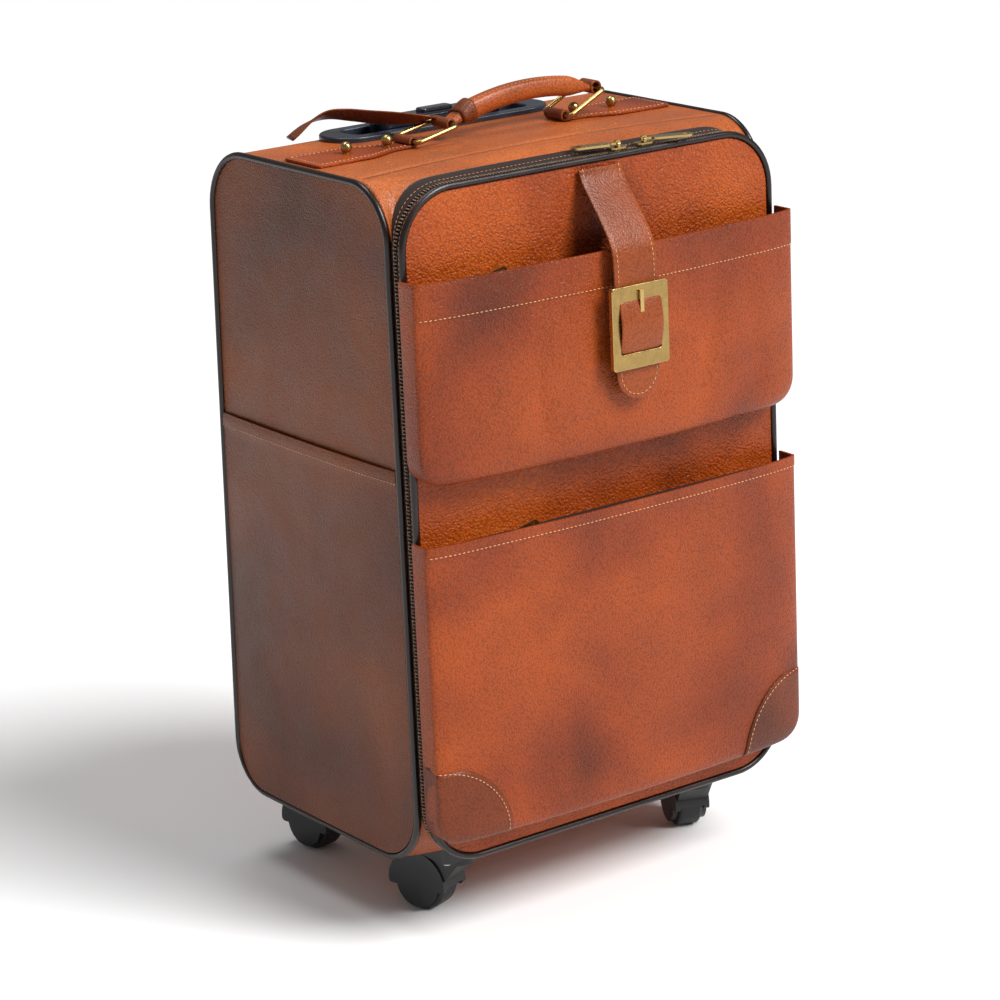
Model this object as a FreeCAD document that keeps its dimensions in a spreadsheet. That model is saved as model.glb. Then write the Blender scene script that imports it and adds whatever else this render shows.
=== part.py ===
import FreeCAD, Part
import math
import os
import Sketcher
from FreeCAD import Placement, Rotation, Vector

# Rolling cabin case in leather: a boxed body on four swivel casters, a front lid that
# hinges along its bottom edge, two pockets and a buckled strap on the lid, a carry
# handle on two rings, and a two-stage trolley handle.
# Millimetres. X is to the right seen from the front, Y to the back, Z up from the floor.
# Everything is drawn about the middle of the case and then moved in Y by SHIFT, which
# puts the origin under the middle of the whole object.

doc = FreeCAD.newDocument("RollingCase")
sheet = doc.addObject("Spreadsheet::Sheet", "Dims")


# ---------------------------------------------------------------- sizes and helpers

class Size:
    """A length with its value and the spreadsheet expression that gives it."""

    def __init__(self, text, value):
        self.text = text
        self.value = float(value)

    def __float__(self):
        return self.value

    def __add__(self, other):
        return Size("(%s + %s)" % (self.text, text_of(other)), self.value + float(other))

    def __radd__(self, other):
        return Size("(%s + %s)" % (text_of(other), self.text), float(other) + self.value)

    def __sub__(self, other):
        return Size("(%s - %s)" % (self.text, text_of(other)), self.value - float(other))

    def __rsub__(self, other):
        return Size("(%s - %s)" % (text_of(other), self.text), float(other) - self.value)

    def __mul__(self, other):
        return Size("(%s * %s)" % (self.text, text_of(other)), self.value * float(other))

    def __rmul__(self, other):
        return Size("(%s * %s)" % (text_of(other), self.text), float(other) * self.value)

    def __truediv__(self, other):
        return Size("(%s / %s)" % (self.text, text_of(other)), self.value / float(other))

    def __neg__(self):
        return Size("(0 - %s)" % self.text, -self.value)


def text_of(value):
    return value.text if isinstance(value, Size) else repr(float(value))


def size(alias, value, note):
    """Write one driving dimension into the sheet and return it as a Size."""
    size.row += 1
    sheet.set("A%d" % size.row, note)
    sheet.set("B%d" % size.row, str(value))
    sheet.setAlias("B%d" % size.row, alias)
    return Size("Dims." + alias, value)


size.row = 0


def bind(ob, prop, value):
    """Tie a property of an object to its expression in the sheet."""
    if isinstance(value, Size):
        ob.setExpression(prop, value.text)
    elif "." in prop or "[" in prop:
        ob.setExpression(prop, text_of(value))
    else:
        setattr(ob, prop, float(value))


def constrain(sketch, kind, value, *where):
    index = sketch.addConstraint(Sketcher.Constraint(kind, *where, float(value)))
    if isinstance(value, Size):
        sketch.setExpression("Constraints[%d]" % index, value.text)


def locate(sketch, geometry, end, u, v):
    """Hold one point of a sketch at (u, v) from its origin."""
    constrain(sketch, "DistanceX", u, -1, 1, geometry, end)
    constrain(sketch, "DistanceY", v, -1, 1, geometry, end)


def circle(u, v, radius):
    """Profile: a full circle."""
    def draw(sketch):
        shape = Part.Circle(Vector(float(u), float(v)), Vector(0, 0, 1), float(radius))
        index = sketch.addGeometry(shape)
        locate(sketch, index, 3, u, v)
        constrain(sketch, "Radius", radius, index)
    return draw


def outline(points, closed=True):
    """Profile: straight sides between corners (u, v, radius), rounded where radius > 0."""
    def draw(sketch):
        count = len(points)
        spots = [Vector(float(u), float(v)) for u, v, _ in points]
        trims = []
        for i, (_, _, radius) in enumerate(points):
            inner = closed or 0 < i < count - 1
            if float(radius) <= 0 or not inner:
                trims.append((spots[i], spots[i], None))
                continue
            back = (spots[i - 1] - spots[i]).normalize()
            ahead = (spots[(i + 1) % count] - spots[i]).normalize()
            half = back.getAngle(ahead) / 2
            cut = float(radius) / math.tan(half)
            centre = spots[i] + (back + ahead).normalize() * (float(radius) / math.sin(half))
            trims.append((spots[i] + back * cut, spots[i] + ahead * cut, centre))
        sides = count if closed else count - 1
        lines = []
        for i in range(sides):
            side = Part.LineSegment(trims[i][1], trims[(i + 1) % count][0])
            lines.append(sketch.addGeometry(side))
        for i, (u, v, radius) in enumerate(points):
            start, end, centre = trims[i]
            if not closed and i == 0:
                locate(sketch, lines[0], 1, u, v)
                continue
            if not closed and i == count - 1:
                locate(sketch, lines[-1], 2, u, v)
                continue
            before, after = lines[i - 1], lines[i % sides]
            if centre is None:
                sketch.addConstraint(Sketcher.Constraint("Coincident", before, 2, after, 1))
                locate(sketch, after, 1, u, v)
                continue
            first = math.atan2(start.y - centre.y, start.x - centre.x)
            last = math.atan2(end.y - centre.y, end.x - centre.x)
            left_turn = (last - first) % (2 * math.pi) < math.pi
            round_corner = Part.Circle(centre, Vector(0, 0, 1), float(radius))
            if left_turn:
                arc = sketch.addGeometry(Part.ArcOfCircle(round_corner, first, last))
            else:
                arc = sketch.addGeometry(Part.ArcOfCircle(round_corner, last, first))
            near, far = (1, 2) if left_turn else (2, 1)
            sketch.addConstraint(Sketcher.Constraint("Tangent", before, 2, arc, near))
            sketch.addConstraint(Sketcher.Constraint("Tangent", arc, far, after, 1))
            constrain(sketch, "Radius", radius, arc)
            corner = sketch.addGeometry(Part.Point(spots[i]), True)
            locate(sketch, corner, 1, u, v)
            sketch.addConstraint(Sketcher.Constraint("PointOnObject", corner, 1, before))
            sketch.addConstraint(Sketcher.Constraint("PointOnObject", corner, 1, after))
    return draw


def box(u0, v0, u1, v1, radius=0):
    """Profile: a rectangle from (u0, v0) to (u1, v1) with one corner radius."""
    return outline([(u0, v0, radius), (u1, v0, radius), (u1, v1, radius), (u0, v1, radius)])


def new_body(label):
    body = doc.addObject("PartDesign::Body", label)
    body.Label = label
    return body


def new_sketch(body, role, offset, *profiles):
    """Sketch on one of the body's origin planes, moved along its normal by offset."""
    sketch = body.newObject("Sketcher::SketchObject", body.Label + "_sketch")
    for plane in body.Origin.OriginFeatures:
        if plane.Role == role:
            sketch.AttachmentSupport = [(plane, "")]
    sketch.MapMode = "FlatFace"
    bind(sketch, "AttachmentOffset.Base.z", offset)
    for profile in profiles:
        profile(sketch)
    return sketch


NORMALS = {"x": "YZ_Plane", "y": "XZ_Plane", "z": "XY_Plane"}


def extrude(body, axis, low, high, *profiles, cut=False):
    """Add or cut the profiles between two positions along the body's x, y or z axis."""
    offset = -high if axis == "y" else low
    sketch = new_sketch(body, NORMALS[axis], offset, *profiles)
    before = body.Shape.Volume if cut else 0
    feature = body.newObject("PartDesign::Pocket" if cut else "PartDesign::Pad", "step")
    feature.Profile = sketch
    feature.Reversed = cut
    bind(feature, "Length", high - low)
    doc.recompute()
    if cut and not body.Shape.Volume < before:
        raise RuntimeError("a cut in %s removed nothing" % body.Label)
    return feature


def pipe(body, role, offset, path, start_role, section, start=0):
    """Sweep a section along a path; the path starts in the section's plane."""
    spine = new_sketch(body, role, offset, path)
    profile = new_sketch(body, start_role, start, section)
    feature = body.newObject("PartDesign::AdditivePipe", "step")
    feature.Profile = profile
    feature.Spine = (spine, [])
    doc.recompute()
    return feature


def round_edges(body, radius, wanted):
    """Fillet the edges of the last feature whose middle point satisfies wanted."""
    feature = body.Tip
    names = []
    for i, edge in enumerate(feature.Shape.Edges):
        span = edge.LastParameter - edge.FirstParameter
        middle = edge.valueAt(edge.FirstParameter + span / 2)
        if wanted(middle, edge):
            names.append("Edge%d" % (i + 1))
    fillet = body.newObject("PartDesign::Fillet", "rounding")
    fillet.Base = (feature, names)
    bind(fillet, "Radius", radius)
    doc.recompute()
    return fillet


NODES = []


def place(ob, x=0, y=0, z=0, axis=(0, 0, 1), angle=0, lift=None):
    """Set an object's place; a turn by lift about axis comes before the turn about Z."""
    turn = Rotation(Vector(*axis), float(angle))
    if lift is not None:
        turn = turn.multiply(Rotation(Vector(*lift[0]), float(lift[1])))
    ob.Placement = Placement(Vector(float(x), float(y), float(z)), turn)
    for name, value in (("x", x), ("y", y), ("z", z)):
        if isinstance(value, Size):
            ob.setExpression(".Placement.Base." + name, value.text)


def node(ob, x=0, y=0, z=0, **turn):
    """Place a finished sub-part in the case and list it for export."""
    place(ob, x, y + SHIFT, z, **turn)
    NODES.append(ob)
    return ob


def group(label, members):
    """Several identical or inseparable solids that share one node."""
    compound = doc.addObject("Part::Compound", label)
    compound.Label = label
    compound.Links = members
    doc.recompute()
    return node(compound)


# ---------------------------------------------------------------- driving dimensions

case_width = size("caseWidth", 324, "width of the case between its two side boards' faces")
case_top = size("caseTop", 553.5, "height of the flat top above the floor")
case_bottom = size("caseBottom", 56.5, "height of the flat underside above the floor")
front_edge = size("frontEdge", 106, "side panel's front edge, in front of the middle")
back_at_top = size("backAtTop", 118.5, "back face behind the middle, at the top")
back_at_bottom = size("backAtBottom", 136, "back face behind the middle, at the underside")
round_top_front = size("roundTopFront", 40, "side outline's top front corner radius")
round_top_back = size("roundTopBack", 46, "side outline's top back corner radius")
round_low_front = size("roundLowFront", 44, "side outline's lower front corner radius")
round_low_back = size("roundLowBack", 37, "side outline's lower back corner radius")
leather = size("leather", 1.6, "thickness of the outer leather")
board = size("board", 2.2, "thickness of the stiffening board")
lining_wall = size("liningWall", 1.0, "thickness of the textile lining")

lid_top = size("lidTop", 550, "top of the lid opening's outline")
lid_bottom = size("lidBottom", 63, "bottom of the lid opening's outline")
lid_corner = size("lidCorner", 42, "corner radius of the lid outline")
lid_plane = size("lidPlane", 119, "lid's front plane, in front of the middle")
zip_plane = size("zipPlane", 112, "plane where the two halves of the zip meet")
zip_gap = size("zipGap", 6, "width between the body's rim and the lid's rim, under the zip")
blend_depth = size("blendDepth", 62, "front stretch of the body with rounded corners ends here")

cord_radius = size("cordRadius", 2.5, "radius of the piping")
side_sheet = size("sideSheet", 2.5, "thickness of a side panel")
side_pocket_top = size("sidePocketTop", 354, "height of the side pocket's hem")
side_pocket_wall = size("sidePocketWall", 1.6, "thickness of a side pocket's leather")
side_pocket_slack = size("sidePocketSlack", 1.0, "slack inside a side pocket")
seam = size("seam", 6, "width of a sewn seam")

tape_thick = size("tapeThick", 0.8, "thickness of the zip tape")
coil_radius = size("coilRadius", 0.9, "radius of a zip coil")
coil_gap = size("coilGap", 0.3, "clearance between the two closed coils")
zip_end = size("zipEnd", 112, "half width of the stretch along the bottom without a zip")

false_back = size("falseBack", 49.5, "front of the false back, behind the middle")
false_back_thick = size("falseBackThick", 2.5, "thickness of the false back")

trolley_y = size("trolleyPlace", 68, "trolley tubes behind the middle")
tube_half = size("tubeHalf", 46, "half the distance between the two trolley tubes")
outer_radius = size("outerTubeRadius", 10, "outside radius of a fixed trolley tube")
tube_wall = size("tubeWall", 1.0, "wall of a trolley tube")
tube_play = size("tubePlay", 0.15, "radial play between trolley tubes")
stage_travel = size("stageTravel", 205, "travel of each trolley stage")
bezel_half = size("bezelHalf", 98, "half length of the trolley bezel")
bezel_width = size("bezelWidth", 46, "width of the trolley bezel")
bezel_thick = size("bezelThick", 4, "thickness of the bezel's flange")
well_half = size("wellHalf", 80, "half length of the bezel's well, outside")
well_width = size("wellWidth", 30, "width of the bezel's well, outside")
well_depth = size("wellDepth", 24, "depth of the bezel's well below the top")
well_wall = size("wellWall", 1.5, "wall of the bezel's well")
grip_half = size("gripHalf", 56, "half length of the trolley grip")
grip_width = size("gripWidth", 22, "width of the trolley grip")
grip_top = size("gripRise", 10.5, "top of the trolley grip above the case's top")
grip_height = size("gripHeight", 23, "height of the trolley grip")
button_half = size("buttonHalf", 14, "half length of the push button")
button_width = size("buttonWidth", 11, "width of the push button")
button_travel = size("buttonTravel", 4, "travel of the push button")
button_rise = size("buttonRise", 2.5, "push button's top above the grip, at most its travel")
fit_gap = size("fitGap", 0.3, "working gap between parts that move past each other")

caster_x = size("casterAcross", 112, "swivel axes from the middle, across")
caster_front = size("casterFront", 75, "front swivel axes in front of the middle")
caster_back = size("casterBack", 78, "rear swivel axes behind the middle")
wheel_radius = size("wheelRadius", 21.5, "radius of a wheel")
wheel_width = size("wheelWidth", 18.6, "width of a wheel")
trail = size("casterTrail", 28, "wheel axle's distance from the swivel axis")
fork_width = size("forkWidth", 27, "width of a caster fork")
hood_wall = size("hoodWall", 2.5, "wall of the fork's hood")
cheek_radius = size("cheekRadius", 18, "radius of the fork's round cheeks")
crown_radius = size("crownRadius", 15, "radius of the fork's crown")
base_height = size("baseDrop", 6, "caster base's depth below the underside")
base_length = size("baseLength", 50, "caster base's size across")
base_width = size("baseWidth", 44, "caster base's size front to back")
pin_radius = size("kingPinRadius", 4, "radius of the swivel pin")
pin_play = size("pinPlay", 0.06, "radial clearance of a pin in its hole")
axle_radius = size("axleRadius", 2.5, "radius of a wheel axle")

upper_top = size("upperPocketTop", 492, "height of the upper pocket's mouth")
upper_bottom = size("upperPocketBottom", 347, "height of the upper pocket's bottom")
upper_depth = size("upperPocketDepth", 30, "upper pocket's depth in front of the lid")
lower_top = size("lowerPocketTop", 306, "height of the lower pocket's mouth")
lower_bottom = size("lowerPocketBottom", 83, "height of the lower pocket's bottom")
lower_depth = size("lowerPocketDepth", 28, "lower pocket's depth in front of the lid")
pocket_overhang = size("pocketOverhang", 3, "pocket's side beyond the case's side board")
pocket_half = case_width / 2 + pocket_overhang
pocket_wall = size("pocketWall", 2.2, "thickness of the pockets' leather")
pocket_corner = size("pocketCorner", 18, "radius of the pockets' bottom corners")
patch_reach = size("patchReach", 62, "size of the lower pocket's corner patches")
patch_thick = size("patchThick", 1.2, "thickness of the corner patches")

strap_x = size("strapAcross", 6, "closing strap's middle, to the right of the case's middle")
strap_width = size("strapWidth", 38, "width of the closing strap")
strap_thick = size("strapThick", 2.4, "thickness of the closing strap")
strap_top = size("strapTop", 544, "height of the closing strap's hinge line")
strap_tip = size("strapTip", 385, "height of the closing strap's tip")
strap_gap = size("strapGap", 6.8, "gap behind the closing strap, over the upper pocket")
buckle_width = size("buckleWidth", 50, "width of the buckle frame")
buckle_height = size("buckleHeight", 60, "height of the buckle frame")
buckle_middle = size("buckleMiddle", 438, "height of the buckle's middle")
buckle_side = size("buckleSide", 7, "width of the buckle's side bars")
buckle_bar = size("buckleBar", 11.5, "height of the buckle's top and bottom bars")
buckle_thick = size("buckleThick", 3.4, "thickness of the buckle frame")

handle_y = size("handlePlace", 8, "carry handle behind the middle")
ring_x = size("ringAcross", 68, "carry handle's ring pivots from the middle")
ring_length = size("ringLength", 36, "ring's length between the middles of its end bars")
ring_width = size("ringWidth", 32, "ring's width between the middles of its legs")
ring_wire = size("ringWire", 1.7, "radius of the ring's wire")
ring_play = size("ringPlay", 0.5, "radial slack of a ring in its leather loop")
loop_wall = size("loopWall", 2.2, "leather thickness of an anchor's loop")
loop_width = size("loopWidth", 22, "width of an anchor's loop")
left_rest = size("leftRingRest", 12, "left ring's angle at rest, in degrees")
right_rest = size("rightRingRest", 26, "right ring's angle at rest, in degrees")
handle_radius = size("handleRadius", 6.8, "radius of the rolled leather handle")
handle_arch = size("handleArch", 22, "height of the corner that the handle's arch rounds")
anchor_base = size("anchorBase", 158, "outer end of a handle anchor, from the middle")
anchor_thick = size("anchorThick", 2.4, "thickness of a handle anchor")
stud_radius = size("studRadius", 4.2, "radius of a ball stud's head")

guard_thick = size("guardThick", 2.0, "thickness of the rear corner guards")
prong_thick = size("prongThick", 1.8, "thickness of the buckle's prong")

# The origin sits midway between front and back; the shift is measured once all is built.
SHIFT = size("originShift", 0, "moves every piece so that the origin is midway")
shift_cell = "B%d" % size.row
panel_thick = leather
lid_face = lid_plane + panel_thick
pocket_face = lid_face + upper_depth
strap_back = pocket_face + strap_gap
buckle_back = strap_back + strap_thick + fit_gap
buckle_face = buckle_back + buckle_thick
prong_face = buckle_face + fit_gap + prong_thick

case_height = case_top - case_bottom
half_width = case_width / 2
LEAN = (back_at_bottom - back_at_top) / case_height


def back_at(height):
    """Y of the leaning back face at a height above the floor."""
    return back_at_top + (case_top - height) * LEAN


def side_outline(inset):
    """The body's outline seen from the side, moved inwards; it starts on the underside."""
    top = case_top - inset
    low = case_bottom + inset
    front = inset - front_edge
    return outline([
        (0, low, 0),
        (back_at(low) - inset, low, round_low_back - inset),
        (back_at(top) - inset, top, round_top_back - inset),
        (front, top, round_top_front - inset),
        (front, low, round_low_front - inset),
    ])


def lid_outline(inset):
    """The lid opening's outline seen from the front, moved inwards; starts at the bottom."""
    half = half_width - inset
    low = lid_bottom + inset
    top = lid_top - inset
    radius = lid_corner - inset
    return outline([
        (0, low, 0), (half, low, radius), (half, top, radius),
        (-half, top, radius), (-half, low, radius),
    ])


rim_front = -(zip_plane - zip_gap / 2)


# ---------------------------------------------------------------- the case's body

def well_hole(gap):
    """Opening in the case's top for the bezel's well, with a gap all round."""
    half = well_width / 2 + gap
    return box(-(well_half + gap), trolley_y - half, well_half + gap, trolley_y + half)


def shell_between(label, outer_side, outer_lid, inner_side, inner_lid, outer_half, inner_half):
    """A skin of the body: side outline across, rounded lid outline along the front."""
    body = new_body(label)
    extrude(body, "x", -outer_half, outer_half, side_outline(outer_side))
    extrude(body, "y", rim_front, -blend_depth, lid_outline(outer_lid))
    extrude(body, "x", -inner_half, inner_half, side_outline(inner_side), cut=True)
    extrude(body, "y", rim_front, -blend_depth, lid_outline(inner_lid), cut=True)
    return body


# Outer leather over the top, back, underside and front corners; the side panels close it.
wrap = shell_between("leather_wrap", 0, 0, leather, leather, half_width, half_width)
extrude(wrap, "z", case_top - leather * 2, case_top + leather, well_hole(0), cut=True)
node(wrap)

# Stiffening board under the leather, closed at the sides and open at the front.
shell = shell_between("case_shell", leather, leather, leather + board, leather + board,
                      half_width, half_width - board)
extrude(shell, "z", case_top - leather - board * 2, case_top, well_hole(0), cut=True)
node(shell)

# Textile lining of the main compartment, in front of the false back.
lining = new_body("lining")
lining_half = half_width - board
skin = leather + board


def lining_outline(inset):
    low = case_bottom + skin + inset
    top = case_top - skin - inset
    front = skin - front_edge + inset
    back = false_back - inset
    return outline([
        (back, low, 0), (back, top, 0),
        (front, top, round_top_front - skin - inset),
        (front, low, round_low_front - skin - inset),
    ])


extrude(lining, "x", -lining_half, lining_half, lining_outline(0))
extrude(lining, "y", rim_front, -blend_depth, lid_outline(skin))
extrude(lining, "x", -(lining_half - lining_wall), lining_half - lining_wall,
        lining_outline(lining_wall), cut=True)
extrude(lining, "y", rim_front, -blend_depth, lid_outline(skin + lining_wall), cut=True)
node(lining)

# False back: a stiff board that closes off the trolley tubes.
panel = new_body("inner_back_panel")
extrude(panel, "y", false_back, false_back + false_back_thick,
        box(-lining_half, case_bottom + skin, lining_half, case_top - skin))
node(panel)

# Side panels, their piping and the slip pockets over their lower part.
piping_out = half_width + cord_radius
piping_inset = cord_radius - 1.5
panel_inset = piping_inset + cord_radius + 0.1


def side_pocket_outline(border):
    """Lower part of a side panel, narrowed by a border on its three sewn edges."""
    inset = panel_inset + border
    low = case_bottom + inset
    top = side_pocket_top
    return outline([
        (inset - front_edge, top, 0),
        (inset - front_edge, low, round_low_front - inset),
        (back_at(low) - inset, low, round_low_back - inset),
        (back_at(top) - inset, top, 0),
    ])


for side, name in ((-1, "left"), (1, "right")):
    sheet_panel = new_body("side_panel_" + name)
    near, far = half_width * side, (half_width + side_sheet) * side
    low, high = (near, far) if side > 0 else (far, near)
    extrude(sheet_panel, "x", low, high, side_outline(panel_inset))
    node(sheet_panel)

    cord = new_body("side_piping_" + name)
    pipe(cord, "YZ_Plane", piping_out * side, side_outline(piping_inset),
         "XZ_Plane", circle(piping_out * side, case_bottom + piping_inset, cord_radius))
    node(cord)

    pocket = new_body("side_pocket_" + name)
    near = (half_width + side_sheet) * side
    middle = near + side_pocket_slack * side
    far = middle + side_pocket_wall * side
    low, high = (near, far) if side > 0 else (far, near)
    extrude(pocket, "x", low, high, side_pocket_outline(0))
    low, high = (near, middle) if side > 0 else (middle, near)
    mouth = side_pocket_top + seam
    border = panel_inset + seam
    extrude(pocket, "x", low, high, outline([
        (border - front_edge, mouth, 0),
        (border - front_edge, case_bottom + border, round_low_front - border),
        (back_at(case_bottom) - border, case_bottom + border, round_low_back - border),
        (back_at(case_bottom) - border - (mouth - case_bottom) * LEAN, mouth, 0),
    ]), cut=True)
    node(pocket)

# Rear corner guards: leather caps that wrap the lower back corners.
guard_low = size("guardLow", 90, "guards start this far behind the middle")
guard_high = size("guardHigh", 132, "height of the guard's top edge")
guard_out = size("guardOut", 159, "outer end of a rear guard, from the middle")
guard_width = size("guardWidth", 44, "width of a rear guard")
guards = []
for side, name in ((-1, "left"), (1, "right")):
    guard = new_body("guard_" + name)
    outer = guard_out * side
    inner = (guard_out - guard_width) * side
    low, high = (inner, outer) if side > 0 else (outer, inner)
    base = case_bottom - guard_thick
    extrude(guard, "x", low, high, outline([
        (guard_low, base, 0),
        (back_at(base) + guard_thick, base, round_low_back + guard_thick),
        (back_at(guard_high) + guard_thick, guard_high, 0),
        (guard_low, guard_high, 0),
    ]))
    extrude(guard, "x", low, high, outline([
        (guard_low - seam, case_bottom, 0),
        (back_at(case_bottom), case_bottom, round_low_back),
        (back_at(guard_high + seam), guard_high + seam, 0),
        (guard_low - seam, guard_high + seam, 0),
    ]), cut=True)
    edge_x = (caster_x + base_length / 2 + 0.3) * side
    low, high = (-edge_x, edge_x) if side > 0 else (edge_x, -edge_x)
    extrude(guard, "x", low, high, box(guard_low - seam, base - seam,
            caster_back + base_width / 2 + 0.3, case_bottom + seam), cut=True)
    guards.append(guard)
group("rear_guards", guards)


# ---------------------------------------------------------------- the main zip

tape_side = -(zip_plane + coil_gap / 2 + coil_radius)
coil_lift = tape_thick + coil_radius


def zip_half(label, tape_low, tape_high, coil_y):
    """One tape with its coil, round the top, the sides and the bottom corners."""
    bottom_cut = box(-zip_end, lid_bottom - seam, zip_end, lid_bottom + seam)
    tape = new_body(label + "_tape")
    extrude(tape, "y", tape_low, tape_high, lid_outline(-tape_thick))
    extrude(tape, "y", tape_low, tape_high, lid_outline(0), cut=True)
    extrude(tape, "y", tape_low, tape_high, bottom_cut, cut=True)
    coil = new_body(label + "_coil")
    pipe(coil, "XZ_Plane", -coil_y, lid_outline(-coil_lift),
         "YZ_Plane", circle(coil_y, lid_bottom - coil_lift, coil_radius))
    extrude(coil, "y", coil_y - coil_radius - 1, coil_y + coil_radius + 1, bottom_cut, cut=True)
    return group(label, [tape, coil])


coil_step = coil_radius + coil_gap / 2
zip_half("zip_half_body", -(zip_plane - 0.6), -(front_edge + 1.6),
         -(zip_plane - coil_step))
zip_half("zip_half_lid", -(lid_plane - cord_radius - 0.1), -(zip_plane + 0.6),
         -(zip_plane + coil_step))

# Leather hinge along the bottom, sewn under the body's rim and reaching to the fold.
strip = new_body("hinge_strip")
strip_back = size("stripBack", 98, "hinge strip's sewn edge, in front of the middle")
strip_thick = size("stripThick", 1.4, "thickness of the hinge strip")
extrude(strip, "y", -(zip_plane - 0.1), -strip_back,
        box(-(zip_end - 0.5), lid_bottom - strip_thick, zip_end - 0.5, lid_bottom))
node(strip)


# ---------------------------------------------------------------- the lid

lid_board = new_body("lid_board")
board_front = -(lid_plane - cord_radius - 0.1)
piping_clear = cord_radius - 0.4
extrude(lid_board, "y", board_front, -(zip_plane + zip_gap / 2), lid_outline(0))
extrude(lid_board, "y", -lid_plane, board_front, lid_outline(piping_clear))
extrude(lid_board, "y", -(lid_plane - board), -(zip_plane + zip_gap / 2),
        lid_outline(board * 2), cut=True)
node(lid_board)

lid_panel = new_body("lid_panel")
extrude(lid_panel, "y", -lid_face, -lid_plane, lid_outline(piping_clear))
node(lid_panel)

lid_piping = new_body("lid_piping")
lid_cord_out = size("lidPipingOut", 0.5, "lid piping's middle outside the lid outline")
pipe(lid_piping, "XZ_Plane", lid_plane, lid_outline(-lid_cord_out),
     "YZ_Plane", circle(-lid_plane, lid_bottom - lid_cord_out, cord_radius))
node(lid_piping)

lid_lining = new_body("lid_lining")
extrude(lid_lining, "y", -(lid_plane - board), -(lid_plane - board - lining_wall),
        lid_outline(board * 2))
node(lid_lining)


def front_pocket(label, low, top, depth):
    """Gusseted pocket sewn on the lid's panel and open at its top."""
    pocket = new_body(label)
    face = lid_face + depth
    extrude(pocket, "y", -face, -lid_face, outline([
        (-pocket_half, low, pocket_corner), (pocket_half, low, pocket_corner),
        (pocket_half, top, 0), (-pocket_half, top, 0),
    ]))
    inside = pocket_half - pocket_wall
    floor = low + pocket_wall
    radius = pocket_corner - pocket_wall
    extrude(pocket, "y", -(face - pocket_wall), -lid_face, outline([
        (-inside, floor, radius), (inside, floor, radius),
        (inside, top + seam, 0), (-inside, top + seam, 0),
    ]), cut=True)
    extrude(pocket, "y", -(lid_plane + cord_radius + 0.1), -lid_face,
            box(-pocket_half - 20, lid_bottom - 20, pocket_half + 20, lid_top + 20),
            lid_outline(cord_radius - lid_cord_out + 0.1), cut=True)
    return node(pocket)


front_pocket("upper_pocket", upper_bottom, upper_top, upper_depth)
front_pocket("lower_pocket", lower_bottom, lower_top, lower_depth)

# Quarter-round leather patches on the lower pocket's bottom corners.
patch_face = lid_face + lower_depth
patches = []
for side, name in ((-1, "left"), (1, "right")):
    patch = new_body("patch_" + name)
    outer = pocket_half * side
    inner = (pocket_half - patch_reach) * side
    high = lower_bottom + patch_reach
    extrude(patch, "y", -(patch_face + patch_thick), -patch_face, outline([
        (outer, lower_bottom, pocket_corner), (inner, lower_bottom, 0),
        (inner, high, patch_reach - 2), (outer, high, 0),
    ]))
    patches.append(patch)
group("corner_patches", patches)

# Zips on the lid's panel, behind each pocket's hem.
pocket_zip_drop = size("pocketZipDrop", 13, "pocket zip's middle below the pocket's mouth")
pocket_tape_half = size("pocketTapeHalf", 6, "half width of a pocket zip's tape")
pocket_zip_end = size("pocketZipEnd", 150, "end of a pocket zip's tape, from the middle")
tapes = []
for name, top in (("upper", upper_top), ("lower", lower_top)):
    tape = new_body("pocket_tape_" + name)
    middle = top - pocket_zip_drop
    extrude(tape, "y", -(lid_face + tape_thick), -lid_face,
            box(-pocket_zip_end, middle - pocket_tape_half, pocket_zip_end,
                middle + pocket_tape_half))
    tapes.append(tape)
group("pocket_zip_tapes", tapes)

# Hidden magnetic snap that holds the strap's tip: the half on the pocket.
snap_radius = size("snapRadius", 7, "radius of the hidden snap")
snap_height = size("snapHeight", 410, "height of the hidden snap's middle")
snap_thick = size("snapThick", 3.2, "thickness of each half of the hidden snap")
snap = new_body("snap_socket")
extrude(snap, "y", -(pocket_face + snap_thick), -pocket_face,
        circle(strap_x, snap_height, snap_radius))
node(snap)


# ---------------------------------------------------------------- the closing strap

strap = new_body("closing_strap")
strap_face = strap_back + strap_thick
bend = size("strapBend", 12, "radius of the strap's bends")
shoulder_top = size("strapShoulder", 541, "height where the strap leaves the lid")
shoulder_low = size("strapLanding", 494, "height where the strap hangs straight again")
lid_side = lid_face + 0.3
extrude(strap, "x", strap_x - strap_width / 2, strap_x + strap_width / 2, outline([
    (-lid_side, strap_top, 0),
    (-lid_side, shoulder_top, bend / 2),
    (-strap_back, shoulder_low, bend + strap_thick),
    (-strap_back, strap_tip, 0),
    (-strap_face, strap_tip, 0),
    (-strap_face, shoulder_low, bend),
    (-(lid_side + strap_thick), shoulder_top, bend / 2 + strap_thick),
    (-(lid_side + strap_thick), strap_top, 0),
]))
strap_end_round = strap_width / 2 - 1
round_edges(strap, strap_end_round, lambda p, edge: edge.Length < float(strap_thick) * 1.01
            and abs(p.z - float(strap_tip)) < 0.1)
node(strap)

snap_stud = new_body("snap_stud")
extrude(snap_stud, "y", -strap_back, -(pocket_face + snap_thick + fit_gap),
        circle(strap_x, snap_height, snap_radius - 1))
node(snap_stud)

buckle = new_body("buckle_frame")
half_w, half_h = buckle_width / 2, buckle_height / 2
extrude(buckle, "y", -buckle_face, -(strap_back + strap_thick),
        box(strap_x - half_w, buckle_middle - half_h, strap_x + half_w,
            buckle_middle + half_h, 2.5))
extrude(buckle, "y", -buckle_face, -(strap_back + strap_thick),
        box(strap_x - half_w + buckle_side, buckle_middle - half_h + buckle_bar,
            strap_x + half_w - buckle_side, buckle_middle + half_h - buckle_bar, 2), cut=True)
round_edges(buckle, 0.8, lambda p, edge: abs(p.y + float(buckle_face)) < 0.01)
node(buckle)

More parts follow.
